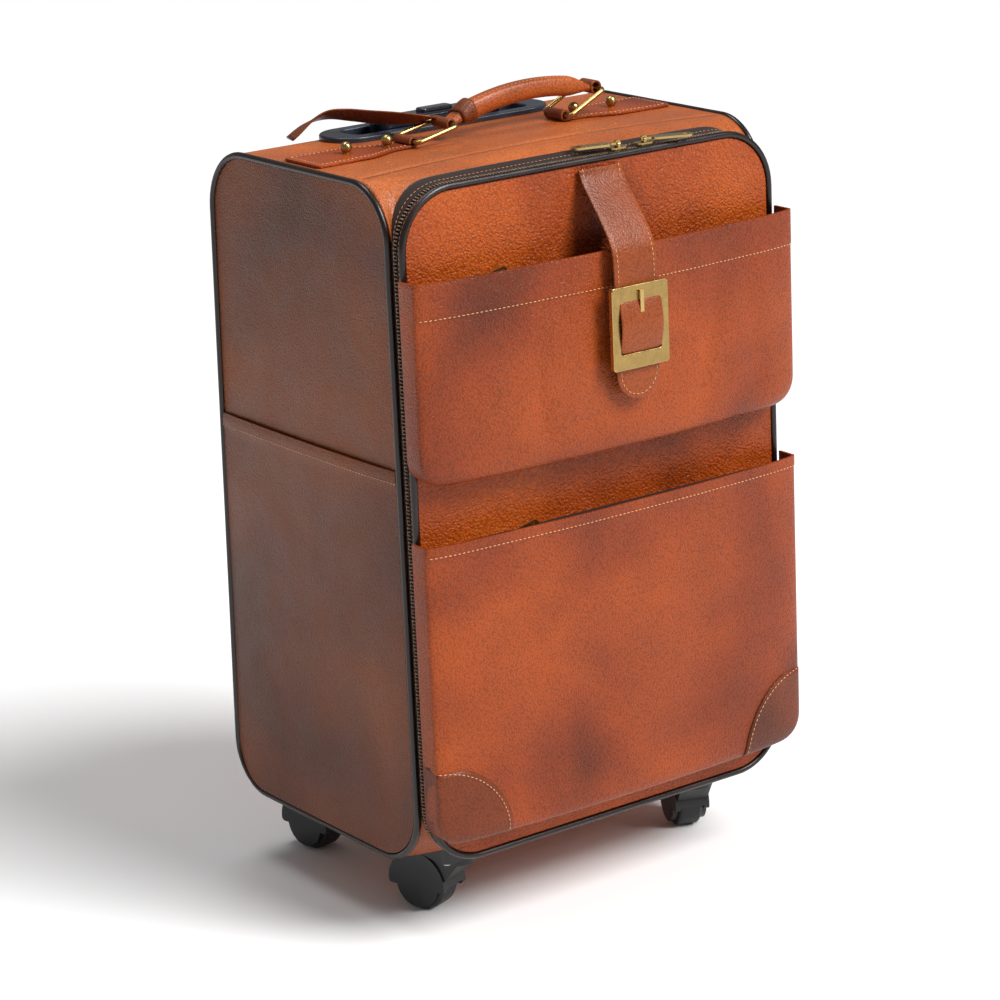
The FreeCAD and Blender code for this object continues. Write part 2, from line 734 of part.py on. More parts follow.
prong = new_body("buckle_prong")
prong_width = size("prongWidth", 3.2, "width of the buckle's prong")
prong_length = size("prongLength", 21, "length of the buckle's prong")
prong_top = buckle_middle + half_h - 4
extrude(prong, "y", -prong_face, -(prong_face - prong_thick),
        box(-prong_width / 2, -prong_length, prong_width / 2, 0, 1))
node(prong, strap_x, 0, prong_top)


# ---------------------------------------------------------------- zip sliders and pullers

slider_length = size("sliderLength", 15, "length of a main zip slider")
slider_width = size("sliderWidth", 9, "width of a main zip slider")
slider_thick = size("sliderThick", 1.6, "thickness of a slider's top plate")
slider_left = size("sliderLeft", 30, "left slider's middle at rest, right of the middle")
slider_right = size("sliderRight", 54, "right slider's middle at rest, right of the middle")
puller_length = size("pullerLength", 36, "length of a main zip puller")
puller_width = size("pullerWidth", 10, "width of a main zip puller")
puller_thick = size("pullerThick", 1.6, "thickness of a puller")
puller_left_turn = size("pullerLeftTurn", 168, "left puller's direction in plan, in degrees")
puller_right_turn = size("pullerRightTurn", -22, "right puller's direction in plan, in degrees")
slider_base = lid_top + tape_thick + coil_radius * 2 + fit_gap
bail_wire = size("bailWire", 1.6, "square section of a slider's bail")
bail_lift = size("bailLift", 2.5, "bail bar's middle above the slider's plate")
bail_half = size("bailHalf", 3.5, "half width of a slider's bail")
eye_radius = size("eyeRadius", 2.2, "outside radius of a puller's eye")
eye_bore = size("eyeBore", 1.25, "radius of the hole through a puller's eye")
eye_half = bail_half - bail_wire - 0.2


def zip_slider(label, length, width, thick, turn):
    """Plate of a slider over the coils, with a bail turned to face its puller."""
    slider = new_body(label)
    end, side = length / 2, width / 2
    extrude(slider, "z", 0, thick, outline([
        (-end, -side + 1.5, 1), (-end + 3, -side, 2), (end - 3, -side, 2),
        (end, -side + 1.5, 1), (end, side - 1.5, 1), (end - 3, side, 2),
        (-end + 3, side, 2), (-end, side - 1.5, 1),
    ]))
    inner, top = bail_half - bail_wire, thick + bail_lift + bail_wire / 2
    sketch = new_sketch(slider, "YZ_Plane", 0, outline([
        (-bail_half, thick / 2, 0), (-inner, thick / 2, 0), (-inner, top - bail_wire, 0),
        (inner, top - bail_wire, 0), (inner, thick / 2, 0), (bail_half, thick / 2, 0),
        (bail_half, top, 1.2), (-bail_half, top, 1.2),
    ]))
    sketch.AttachmentOffset = Placement(Vector(0, 0, 0), Rotation(Vector(0, 1, 0), turn))
    bail = slider.newObject("PartDesign::Pad", "bail")
    bail.Profile = sketch
    bail.Midplane = True
    bind(bail, "Length", bail_wire)
    doc.recompute()
    return slider


def zip_puller(label, length, width):
    """Flat bar with an eye round the bail at its near end and a hole at its far end."""
    puller = new_body(label)
    half = puller_thick / 2
    extrude(puller, "y", -eye_half, eye_half, circle(0, 0, eye_radius))
    extrude(puller, "z", -half, half, box(0, -eye_half, 7, eye_half))
    extrude(puller, "z", -half, half, box(5, -width / 2, length, width / 2, width / 2 - 0.1))
    extrude(puller, "y", -eye_half - 1, eye_half + 1, circle(0, 0, eye_bore), cut=True)
    extrude(puller, "z", -half, half, circle(length - width / 2, 0, width / 2 - 2.3), cut=True)
    return puller


bail_bar = slider_base + slider_thick + bail_lift
for name, across, turn in (("left", slider_left, puller_left_turn),
                           ("right", slider_right, puller_right_turn)):
    node(zip_slider("slider_" + name, slider_length, slider_width, slider_thick, float(turn)),
         across, -zip_plane, slider_base)
    node(zip_puller("puller_" + name, puller_length, puller_width),
         across, -zip_plane, bail_bar, angle=turn)

pocket_slider_length = size("pocketSliderLength", 13, "length of a pocket zip's slider")
pocket_slider_thick = size("pocketSliderThick", 2.2, "thickness of a pocket zip's slider")
pocket_puller_length = size("pocketPullerLength", 34, "length of a pocket zip's puller")
pocket_puller_width = size("pocketPullerWidth", 8, "width of a pocket zip's puller")
upper_slider_x = size("upperSliderAcross", -114, "upper pocket slider's place, across")
lower_slider_x = size("lowerSliderAcross", -96, "lower pocket slider's place, across")
pocket_puller_tilt = size("pocketPullerTilt", 13, "pocket puller's tilt at rest, in degrees")
pocket_slider_base = lid_face + tape_thick + fit_gap
pocket_bar = pocket_slider_base + pocket_slider_thick + bail_lift
upright = ((1, 0, 0), 90)
for name, top, across in (("upper", upper_top, upper_slider_x),
                          ("lower", lower_top, lower_slider_x)):
    slider = zip_slider("pocket_slider_" + name, pocket_slider_length, slider_width,
                        pocket_slider_thick, float(pocket_puller_tilt))
    node(slider, across, -pocket_slider_base, top - pocket_zip_drop, lift=upright)
    puller = zip_puller("pocket_puller_" + name, pocket_puller_length, pocket_puller_width)
    node(puller, across, -pocket_bar, top - pocket_zip_drop,
         axis=(0, -1, 0), angle=pocket_puller_tilt, lift=upright)


# ---------------------------------------------------------------- the carry handle

loop_radius = ring_wire + ring_play + loop_wall
pivot_z = case_top + loop_radius + 0.1


def ring(label):
    """Rectangular wire ring: its pivot bar is at the origin and it reaches along +X."""
    body = new_body(label)
    half = ring_width / 2
    pipe(body, "XY_Plane", 0, outline([
        (0, 0, 0), (0, -half, 3.5), (ring_length, -half, 3.5),
        (ring_length, half, 3.5), (0, half, 3.5),
    ]), "XZ_Plane", circle(0, 0, ring_wire))
    return body


node(ring("ring_left"), -ring_x, handle_y, pivot_z, axis=(0, -1, 0), angle=left_rest)
node(ring("ring_right"), ring_x, handle_y, pivot_z, axis=(0, -1, 0), angle=right_rest)

# Anchors: leather tabs sewn and studded to the top, rolled round the rings' pivot bars.
for side, name in ((-1, "left"), (1, "right")):
    anchor = new_body("handle_anchor_" + name)
    tip = ring_x - 2
    wide, narrow = loop_width / 2 + 11, loop_width / 2
    extrude(anchor, "z", case_top, case_top + anchor_thick, outline([
        (anchor_base * side, -wide, 3), (anchor_base * side, wide, 3),
        ((anchor_base - 50) * side, wide - 2, 20), ((tip + 10) * side, narrow, 20),
        (tip * side, narrow, 0), (tip * side, -narrow, 0),
        ((tip + 10) * side, -narrow, 20), ((anchor_base - 50) * side, -wide + 2, 20),
    ]))
    extrude(anchor, "y", -loop_width / 2, loop_width / 2,
            circle(ring_x * side, pivot_z, loop_radius))
    clear = ring_wire + ring_play
    extrude(anchor, "y", -loop_width, loop_width, circle(ring_x * side, pivot_z, clear),
            cut=True)
    node(anchor, 0, handle_y, 0)

# Ball studs through the anchors.
stud_inner = size("studInner", 84, "inner ball studs from the middle")
stud_outer = size("studOuter", 119, "outer ball studs from the middle")
studs = []
for side in (-1, 1):
    for index, across in enumerate((stud_inner, stud_outer)):
        neck = doc.addObject("Part::Cylinder", "stud_neck")
        neck.Radius = float(stud_radius) * 0.6
        neck.setExpression("Radius", (stud_radius * 0.6).text)
        neck.setExpression("Height", (stud_radius * 0.8).text)
        ball = doc.addObject("Part::Sphere", "stud_ball")
        ball.setExpression("Radius", stud_radius.text)
        ball.Placement = Placement(Vector(0, 0, float(stud_radius) * 1.1), Rotation())
        ball.setExpression(".Placement.Base.z", (stud_radius * 1.1).text)
        stud = doc.addObject("Part::Fuse", "stud")
        stud.Base = neck
        stud.Tool = ball
        place(stud, across * side, handle_y, case_top + anchor_thick)
        studs.append(stud)
group("anchor_studs", studs)

# Rolled leather handle with a hem round each ring's outer bar. The right hem is slack,
# which lets the handle swing between two rings that lift by different angles.
left_angle = math.radians(float(left_rest))
right_angle = math.radians(float(right_rest))
reach = float(ring_length)
left_bar = Vector(-float(ring_x) + reach * math.cos(left_angle), 0,
                  float(pivot_z) + reach * math.sin(left_angle))
right_bar = Vector(float(ring_x) + reach * math.cos(right_angle), 0,
                   float(pivot_z) + reach * math.sin(right_angle))
span = (right_bar - left_bar).Length
tilt = math.degrees(math.atan2(right_bar.z - left_bar.z, right_bar.x - left_bar.x))
hem_slack = size("hemSlack", 1.3, "slack of the handle's right hem round its ring")
hem_radius = ring_wire + hem_slack + fit_gap + 2
hem_width = size("hemWidth", 16, "width of the handle's hems")
handle = new_body("carry_handle")
start = hem_radius - 1.5
pipe(handle, "XZ_Plane", 0, outline([
    (start, 0, 0), (span / 2, handle_arch, span * 1.3), (span - start, 0, 0),
], closed=False), "YZ_Plane", circle(0, 0, handle_radius), start)
slack_x = size("hemSlackAcross", -1.0, "right hem's middle from its ring's bar, along")
slack_z = size("hemSlackUp", 0.8, "right hem's middle from its ring's bar, upwards")
extrude(handle, "y", -hem_width / 2, hem_width / 2, circle(0, 0, hem_radius))
extrude(handle, "y", -hem_width / 2, hem_width / 2,
        circle(span + slack_x, slack_z, hem_radius))
extrude(handle, "y", -hem_width, hem_width, circle(0, 0, ring_wire + fit_gap), cut=True)
extrude(handle, "y", -hem_width, hem_width,
        circle(span + slack_x, slack_z, ring_wire + hem_slack + fit_gap), cut=True)
node(handle, left_bar.x, handle_y, left_bar.z, axis=(0, -1, 0), angle=tilt)

# Short strap for a tag: a thong round the left ring's outer bar that widens, runs to the
# back over the ring's leg and comes down on the case's top.
tag_thick = size("tagThick", 2.2, "thickness of the tag strap")
thong_low = size("thongLow", 8.4, "near edge of the thong, behind the handle's middle")
thong_high = size("thongHigh", 12.3, "far edge of the thong, behind the handle's middle")
thong_bore = size("thongBore", 2.2, "radius of the hole through the thong's loop")
tag_end = size("tagEnd", 82, "tag strap's end, to the left of the ring's bar")
tag = new_body("tag_strap")
thong_top = thong_bore + tag_thick
extrude(tag, "z", -20, thong_top + 6, outline([
    (0, thong_low, 0), (0, thong_high, 0), (-9, 14, 6), (-28, 47, 25), (-46, 76, 25),
    (-tag_end, 87, 5), (-tag_end, 73, 5), (-56, 62, 25), (-40, 38, 25), (-15, thong_low, 10),
]))
extrude(tag, "y", 0, 100, outline([
    (10, thong_top, 0), (-30, thong_top + 0.3, 40), (-52, thong_top + 2.4, 20),
    (-62, thong_top, 20), (-tag_end - 3, -10.5, 0), (-tag_end - 3, 40, 0), (10, 40, 0),
]), cut=True)
extrude(tag, "y", 0, 100, outline([
    (10, thong_top - tag_thick, 0), (-30, thong_top + 0.3 - tag_thick, 40),
    (-52, thong_top + 2.4 - tag_thick, 20), (-62, thong_top - tag_thick * 1.2, 20),
    (-tag_end - 3, -10.5 - tag_thick * 1.2, 0), (-tag_end - 3, -40, 0), (10, -40, 0),
]), cut=True)
extrude(tag, "y", thong_low, thong_high, circle(0, 0, thong_top))
extrude(tag, "y", 0, 20, circle(0, 0, thong_bore), cut=True)
node(tag, left_bar.x, handle_y, left_bar.z)


# ---------------------------------------------------------------- the trolley handle

bezel = new_body("trolley_bezel")
flange = bezel_width / 2
extrude(bezel, "z", case_top, case_top + bezel_thick,
        box(-bezel_half, -flange, bezel_half, flange, flange - 0.1))
well_out, well_in = well_width / 2, well_width / 2 - well_wall
well_floor = case_top - well_depth + well_wall * 2
extrude(bezel, "z", case_top - well_depth, case_top,
        box(-well_half, -well_out, well_half, well_out))
extrude(bezel, "z", well_floor, case_top + bezel_thick,
        box(-well_half + well_wall, -well_in, well_half - well_wall, well_in, 8), cut=True)
tube_pass = outer_radius - tube_wall
extrude(bezel, "z", case_top - well_depth, well_floor,
        circle(-tube_half, 0, tube_pass), circle(tube_half, 0, tube_pass), cut=True)
round_edges(bezel, 1.5, lambda p, edge: abs(p.z - float(case_top + bezel_thick)) < 0.01)
node(bezel, 0, trolley_y, 0)

foot_top = size("tubeFootTop", 70, "top of the bracket under the trolley tubes")
foot = new_body("tube_foot")
extrude(foot, "z", case_bottom + skin, foot_top,
        box(-tube_half - outer_radius - 4, -outer_radius - 3,
            tube_half + outer_radius + 4, outer_radius + 3, 4))
node(foot, 0, trolley_y, 0)


def tube_pair(label, radius, bore, low, high, collar=None):
    """Two upright tubes, each open at both ends, with a collar at the top if given."""
    tubes = []
    for side in (-1, 1):
        tube = new_body("%s_%d" % (label, side + 2))
        extrude(tube, "z", low, high, circle(0, 0, radius))
        if collar is not None:
            extrude(tube, "z", collar[0], high, circle(0, 0, collar[1]))
        extrude(tube, "z", low, high, circle(0, 0, bore), cut=True)
        place(tube, tube_half * side, trolley_y, 0)
        tubes.append(tube)
    return group(label, tubes)


middle_radius = outer_radius - tube_wall - tube_play
inner_radius = middle_radius - tube_wall - tube_play - 0.15
grip_bottom = case_top + grip_top - grip_height
tube_pair("outer_tubes", outer_radius, outer_radius - tube_wall, foot_top,
          case_top - well_depth)
tube_pair("middle_tubes", middle_radius, middle_radius - tube_wall - 0.15, foot_top + 5,
          grip_bottom - fit_gap, (well_floor + fit_gap, middle_radius + 1.2))
tube_pair("inner_tubes", inner_radius, inner_radius - tube_wall - 0.2, foot_top + 10,
          grip_bottom)

grip = new_body("grip")
grip_out = grip_width / 2
extrude(grip, "z", grip_bottom, case_top + grip_top,
        box(-grip_half, -grip_out, grip_half, grip_out, grip_out - 1))
button_floor = case_top + grip_top + button_rise - button_travel * 2 - 5.5
extrude(grip, "z", button_floor, case_top + grip_top,
        box(-button_half - fit_gap, -button_width / 2 - fit_gap, button_half + fit_gap,
            button_width / 2 + fit_gap, 3 + fit_gap), cut=True)
round_edges(grip, 3.0, lambda p, edge: abs(p.z - float(case_top + grip_top)) < 0.01
            and abs(p.y) > float(grip_out) - 0.6 or abs(p.x) > float(grip_half) - 6
            and abs(p.z - float(case_top + grip_top)) < 0.01)
node(grip, 0, trolley_y, 0)

button = new_body("grip_button")
button_top = case_top + grip_top + button_rise
extrude(button, "z", button_floor + button_travel + 0.5, button_top,
        box(-button_half, -button_width / 2, button_half, button_width / 2, 3))
round_edges(button, 1.2, lambda p, edge: abs(p.z - float(button_top)) < 0.01)
node(button, 0, trolley_y, 0)


# ---------------------------------------------------------------- feet on the back

foot_radius = size("backFootRadius", 11, "radius of a foot on the back")
foot_thick = size("backFootThick", 5, "thickness of a foot on the back")
foot_across = size("backFootAcross", 118, "feet on the back from the middle, across")
foot_low = size("backFootLow", 158, "height of the lower feet on the back")
foot_high = size("backFootHigh", 468, "height of the upper feet on the back")
lean_angle = math.degrees(math.atan2(float(LEAN), 1))
feet = []
for side in (-1, 1):
    for index, height in enumerate((foot_low, foot_high)):
        pad = new_body("back_foot_%d_%d" % (side + 1, index))
        extrude(pad, "z", 0, foot_thick, circle(0, 0, foot_radius))
        round_edges(pad, 1.5, lambda p, edge: abs(p.z - float(foot_thick)) < 0.01)
        place(pad, foot_across * side, back_at(height), height, axis=(1, 0, 0),
              angle=-90 + lean_angle)
        feet.append(pad)
group("rear_feet", feet)


# ---------------------------------------------------------------- the casters

casters = [
    ("front_left", -caster_x, -caster_front, size("yawFrontLeft", 108, "its heading")),
    ("front_right", caster_x, -caster_front, size("yawFrontRight", 68, "its heading")),
    ("rear_left", -caster_x, caster_back, size("yawRearLeft", 99, "its heading")),
    ("rear_right", caster_x, caster_back, size("yawRearRight", 84, "its heading")),
]
base_low = case_bottom - base_height
crown_top = base_low - fit_gap
crown_low = crown_top - 7.5
pin_length = size("kingPinLength", 5, "swivel pin's length in the base")
bore_top = crown_top + pin_length + 0.3
screw_radius = size("screwRadius", 2.7, "radius of a caster screw's head")
screw_head = size("screwHead", 1.2, "height of a caster screw's head")
screw_in = size("screwInset", 4.5, "screw's middle from the base's edges")
bases, screws = [], []
for name, across, along, heading in casters:
    plate = new_body("base_" + name)
    u, v = base_length / 2, base_width / 2
    extrude(plate, "z", base_low, case_bottom + 14,
            box(across - u, along - v, across + u, along + v, 6))
    extrude(plate, "x", -half_width, half_width, side_outline(0), cut=True)
    if float(along) < 0:
        extrude(plate, "y", rim_front, -blend_depth, lid_outline(0), cut=True)
    extrude(plate, "z", base_low, bore_top, circle(across, along, pin_radius + pin_play),
            cut=True)
    bases.append(plate)
    for du in (-1, 1):
        for dv in (-1, 1):
            head = new_body("screw")
            extrude(head, "z", base_low - screw_head, base_low, circle(0, 0, screw_radius))
            extrude(head, "z", base_low - screw_head, base_low - screw_head * 0.4,
                    box(-1.6, -0.35, 1.6, 0.35), box(-0.35, 0.4, 0.35, 1.6),
                    box(-0.35, -1.6, 0.35, -0.4), cut=True)
            place(head, across + (u - screw_in) * du, along + (v - screw_in) * dv, 0)
            screws.append(head)
group("caster_bases", bases)
group("caster_screws", screws)

hood_radius = wheel_radius + 1.3 + hood_wall
wheel_space = wheel_radius + 1.3
wheel_side = wheel_width / 2 + fit_gap
for name, across, along, heading in casters:
    fork = new_body("fork_" + name)
    half = fork_width / 2
    extrude(fork, "y", -half, half, outline([
        (trail - hood_radius, wheel_radius - 3, 3), (trail + hood_radius, wheel_radius - 3, 3),
        (trail + hood_radius, wheel_radius + hood_radius, hood_radius - 0.5),
        (trail - hood_radius, wheel_radius + hood_radius, hood_radius - 0.5),
    ]))
    extrude(fork, "y", -half, half, circle(trail, wheel_radius, cheek_radius))
    extrude(fork, "z", crown_low, crown_top, circle(0, 0, crown_radius))
    extrude(fork, "y", -half + 1.5, half - 1.5, outline([
        (-crown_radius + 4, crown_low + 2, 0), (trail - hood_radius + 2, wheel_radius + 4, 6),
        (trail, wheel_radius + 10, 0), (crown_radius - 1, crown_top - 1, 0),
        (-crown_radius + 4, crown_top - 1, 0),
    ]))
    extrude(fork, "y", -wheel_side, wheel_side, circle(trail, wheel_radius, wheel_space),
            cut=True)
    extrude(fork, "y", -wheel_side, wheel_side,
            box(trail - hood_radius - 1, 0, trail + hood_radius + 1, wheel_radius), cut=True)
    extrude(fork, "y", -half - 1, half + 1, circle(trail, wheel_radius, axle_radius), cut=True)
    extrude(fork, "z", crown_top - 1, crown_top + pin_length, circle(0, 0, pin_radius))
    axle = new_body("axle_" + name)
    extrude(axle, "y", -half, half, circle(trail, wheel_radius, axle_radius))
    compound = doc.addObject("Part::Compound", "caster_fork_" + name)
    compound.Label = "caster_fork_" + name
    compound.Links = [fork, axle]
    doc.recompute()
    node(compound, across, along, 0, angle=heading)

    wheel = new_body("caster_wheel_" + name)
    side = wheel_width / 2
    extrude(wheel, "y", -side, side, circle(0, 0, wheel_radius))
    round_edges(wheel, 3.0, lambda p, edge: edge.Length > float(wheel_radius) * 6)
    for low, high in ((-side, -side + 2), (side - 2, side)):
        extrude(wheel, "y", low, high, circle(0, 0, wheel_radius - 6), circle(0, 0, 6),
                cut=True)
    extrude(wheel, "y", -side - 1, side + 1, circle(0, 0, axle_radius + pin_play), cut=True)
    yaw = math.radians(float(heading))
    node(wheel, float(across) + float(trail) * math.cos(yaw),
         along + float(trail) * math.sin(yaw), wheel_radius, angle=heading)


# ---------------------------------------------------------------- origin, checks, export

doc.recompute()
extents = [ob.Shape.optimalBoundingBox() for ob in NODES]
front = min(extent.YMin for extent in extents)
back = max(extent.YMax for extent in extents)
sheet.set(shift_cell, repr(round(-(front + back) / 2, 4)))
doc.recompute()
for ob in doc.Objects:
    if "Invalid" in ob.State or "Error" in ob.State:
        raise RuntimeError("%s did not recompute: %s" % (ob.Label, ob.State))
os.makedirs("parts", exist_ok=True)
for ob in NODES:
    if ob.Shape.isNull() or not ob.Shape.isValid() or not ob.Shape.Solids:
        raise RuntimeError("%s has no valid solid" % ob.Label)
    ob.Shape.exportStep("parts/%s.step" % ob.Label)
print("%d nodes written, origin shift %s" % (len(NODES), sheet.get(shift_cell)))
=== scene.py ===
import math

import bmesh
import bpy
import numpy as np
from mathutils import Matrix, Vector


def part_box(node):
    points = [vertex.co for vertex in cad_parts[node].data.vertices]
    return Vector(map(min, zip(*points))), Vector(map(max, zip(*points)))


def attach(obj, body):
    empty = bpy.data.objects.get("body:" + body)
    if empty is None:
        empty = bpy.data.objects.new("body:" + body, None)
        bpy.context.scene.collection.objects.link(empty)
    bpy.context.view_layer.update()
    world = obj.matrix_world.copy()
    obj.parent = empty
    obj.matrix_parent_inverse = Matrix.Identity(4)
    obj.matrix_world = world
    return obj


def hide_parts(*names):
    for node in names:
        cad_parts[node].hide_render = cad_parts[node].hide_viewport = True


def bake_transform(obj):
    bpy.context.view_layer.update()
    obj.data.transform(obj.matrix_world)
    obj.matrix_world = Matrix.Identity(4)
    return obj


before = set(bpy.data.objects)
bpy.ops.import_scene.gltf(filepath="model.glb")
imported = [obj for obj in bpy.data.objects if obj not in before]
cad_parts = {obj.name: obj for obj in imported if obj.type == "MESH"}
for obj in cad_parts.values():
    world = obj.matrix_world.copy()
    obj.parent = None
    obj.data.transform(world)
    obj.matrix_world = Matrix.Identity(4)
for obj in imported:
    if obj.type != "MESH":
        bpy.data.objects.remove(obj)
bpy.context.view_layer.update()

# ---- Body leather -----------------------------------------------------------------
# One strip of pebbled cowhide over the top, back and underside, glued on board and drawn
# forward round the rounded front opening, where the zip tape is sewn to its edge. Over the
# top that edge is drawn back, so that the tape shows.

LID_LEATHER_FACE = 120.6      # mm in front of the middle plane of the case
middle_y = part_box("lid_panel")[0][1] * 1000 + LID_LEATHER_FACE


def linear(hex_colour, alpha=1.0):
    """sRGB hex to the linear colour a shader takes."""
    values = [int(hex_colour[i:i + 2], 16) / 255 for i in (1, 3, 5)]
    return [v / 12.92 if v <= 0.04045 else ((v + 0.055) / 1.055) ** 2.4 for v in values] + [alpha]


def add_node(tree, kind, settings=None, **inputs):
    """Add a node; inputs are values or sockets, their spaces written as underscores."""
    made = tree.nodes.new(kind)
    for key, value in (settings or {}).items():
        setattr(made, key, value)
    for key, value in inputs.items():
        socket = made.inputs[int(key[1:])] if key[0] == "i" and key[1:].isdigit() \
            else made.inputs[key.replace("_", " ")]
        if isinstance(value, bpy.types.NodeSocket):
            tree.links.new(value, socket)
        else:
            socket.default_value = value
    return made


def new_material(name, **shader):
    """Material with a Principled shader whose constants sit on its own sockets."""
    material = bpy.data.materials.new(name)
    material.use_nodes = True
    tree = material.node_tree
    principled = tree.nodes["Principled BSDF"]
    for key, value in shader.items():
        principled.inputs[key.replace("_", " ")].default_value = value
    return material, tree, principled


def ramp(tree, factor, stops):
    made = add_node(tree, "ShaderNodeValToRGB", None, Fac=factor)
    elements = made.color_ramp.elements
    while len(elements) < len(stops):
        elements.new(0.5)
    for element, (position, colour) in zip(elements, stops):
        element.position = position
        element.color = linear(colour) if isinstance(colour, str) else (colour,) * 3 + (1,)
    return made.outputs[0]


def object_space(tree):
    return add_node(tree, "ShaderNodeTexCoord").outputs["Object"]


def noise(tree, where, scale, detail=2.0, **more):
    return add_node(tree, "ShaderNodeTexNoise", None, Vector=where, Scale=scale,
                    Detail=detail, **more).outputs["Fac"]


def spread(tree, factor, low, high):
    """A noise's usual reach, 0.3 to 0.7, as a value from low to high."""
    return add_node(tree, "ShaderNodeMapRange", None, Value=factor, From_Min=0.3,
                    From_Max=0.7, To_Min=low, To_Max=high).outputs[0]


def multiply(tree, share, base, shade):
    return add_node(tree, "ShaderNodeMix", {"data_type": "RGBA", "blend_type": "MULTIPLY"},
                    i0=share, i6=base, i7=shade).outputs[2]


def bump(tree, height, strength, distance, **more):
    return add_node(tree, "ShaderNodeBump", None, Strength=strength, Distance=distance,
                    Height=height, **more).outputs[0]


def feed(tree, shader, **sockets):
    for key, value in sockets.items():
        tree.links.new(value, shader.inputs[key.replace("_", " ")])


def leather(name, light, mid, dark, grain_mm, depth, roughness, patch_mm=110, seed=0.0):
    """Drum-dyed pebbled leather: grain cells whose creases are darkened with painted shade, cloudy
    hand-rubbed dye.
    """
    material, tree, skin = new_material(name, IOR=1.46, Specular_IOR_Level=0.32,
                                        Coat_Weight=0.05, Coat_Roughness=0.25)
    here = add_node(tree, "ShaderNodeMapping", None, Vector=object_space(tree),
                    Location=(seed, seed * 0.7, -seed)).outputs[0]
    wobble = add_node(tree, "ShaderNodeTexNoise", None, Vector=here, Scale=320 / grain_mm,
                      Detail=2.0, Roughness=0.5)
    shifted = add_node(tree, "ShaderNodeMix", {"data_type": "VECTOR"}, i0=0.0016 * grain_mm,
                       i4=here, i5=wobble.outputs["Color"]).outputs[1]
    cells = add_node(tree, "ShaderNodeTexVoronoi", {"feature": "SMOOTH_F1"}, Vector=shifted,
                     Scale=1000 / grain_mm, Smoothness=0.55, Randomness=1.0).outputs[0]
    cushion = ramp(tree, cells, [(0.0, 1.0), (0.3, 0.85), (0.5, 0.45), (0.75, 0.0)])
    pores = noise(tree, here, 2600 / grain_mm, 3.0, Roughness=0.6)
    waves = noise(tree, here, 34.0, 3.0, Roughness=0.55)
    clouds = noise(tree, here, 1000 / patch_mm, 2.5, Roughness=0.45, Distortion=0.35)
    dye_and_crease_shade = ramp(tree, clouds, [(0.27, dark), (0.45, mid), (0.64, light)])
    dye_and_crease_shade = multiply(tree, 0.75, dye_and_crease_shade, ramp(tree, waves, [(0.3, 0.80), (0.7, 1.0)]))
    # the colour darkens towards each grain cell's edge: painted shade in the creases
    dye_and_crease_shade = multiply(tree, 0.8, dye_and_crease_shade, ramp(tree, cells, [(0.35, 1.0), (0.75, 0.6)]))
    soft = bump(tree, waves, 0.5, 0.0012)
    tiny = bump(tree, pores, 0.25, 0.00008, Normal=soft)
    feed(tree, skin, Base_Color=dye_and_crease_shade,
         Roughness=spread(tree, waves, roughness - 0.06, roughness + 0.08),
         Normal=bump(tree, cushion, 0.85, depth / 1000, Normal=tiny))
    return material


body_skin = leather("pebbled cowhide, body", "#c1652e", "#ab5526", "#85401c", 1.4, 0.28, 0.40,
                    patch_mm=170)


def place(point):
    """Case millimetres to the metres of the frame."""
    return (point[0] / 1000, (point[1] + middle_y) / 1000, point[2] / 1000)


def new_object(name, data):
    ob = bpy.data.objects.new(name, data)
    bpy.context.scene.collection.objects.link(ob)
    return ob


def finish_piece(ob, body, material=None, replaces=()):
    if material is not None:
        ob.data.materials.clear()
        ob.data.materials.append(material)
    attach(ob, body)
    if replaces:
        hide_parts(*replaces)
    return ob


def mesh_object(name, verts, faces, thick=0.0, offset=-1.0, bevel=0.0, levels=0, fix=True):
    """Smooth mesh from case millimetres, with leather thickness and softened edges."""
    mesh = bpy.data.meshes.new(name)
    mesh.from_pydata([place(v) for v in verts], [], faces)
    work = bmesh.new()
    work.from_mesh(mesh)
    bmesh.ops.remove_doubles(work, verts=work.verts, dist=1e-6)
    if fix:
        bmesh.ops.recalc_face_normals(work, faces=work.faces)
    work.to_mesh(mesh)
    work.free()
    for polygon in mesh.polygons:
        polygon.use_smooth = True
    ob = new_object(name, mesh)
    if thick:
        wall = ob.modifiers.new("thickness", "SOLIDIFY")
        wall.thickness = thick / 1000
        wall.offset = offset
        wall.use_even_offset = False
    if bevel:
        soft = ob.modifiers.new("soft edges", "BEVEL")
        soft.width = bevel / 1000
        soft.segments = 2
        soft.limit_method = "ANGLE"
        soft.angle_limit = math.radians(45)
    if levels:
        smooth = ob.modifiers.new("smooth", "SUBSURF")
        smooth.levels = smooth.render_levels = levels
    return ob


def grid(points, closed=False, keep=None):
    """Vertices and quads of rows of points; closed joins each row's end to its start."""
    rows, columns = len(points), len(points[0])
    verts = [tuple(p) for row in points for p in row]
    faces = []
    for i in range(rows - 1):
        for j in range(columns if closed else columns - 1):
            k = (j + 1) % columns
            face = (i * columns + j, i * columns + k, (i + 1) * columns + k,
                    (i + 1) * columns + j)
            centre = sum((np.array(verts[n]) for n in face), np.zeros(3)) / 4
            if keep is None or keep(centre):
                faces.append(face)
    return verts, faces


def facing(ob, direction):
    """Turn an open sheet over if most of it faces away from the given direction."""
    total = sum((p.normal * p.area for p in ob.data.polygons), Vector())
    if total.dot(Vector(direction)) < 0:
        ob.data.flip_normals()
    return ob


def make_piece(name, shape, body, slot, material, nodes=(), toward=None, **finish):
    """One finished piece of (vertices, faces), turned toward a direction if one is given."""
    ob = mesh_object(name, *shape, **finish)
    if toward:
        facing(ob, toward)
    return finish_piece(ob, body, material, nodes)


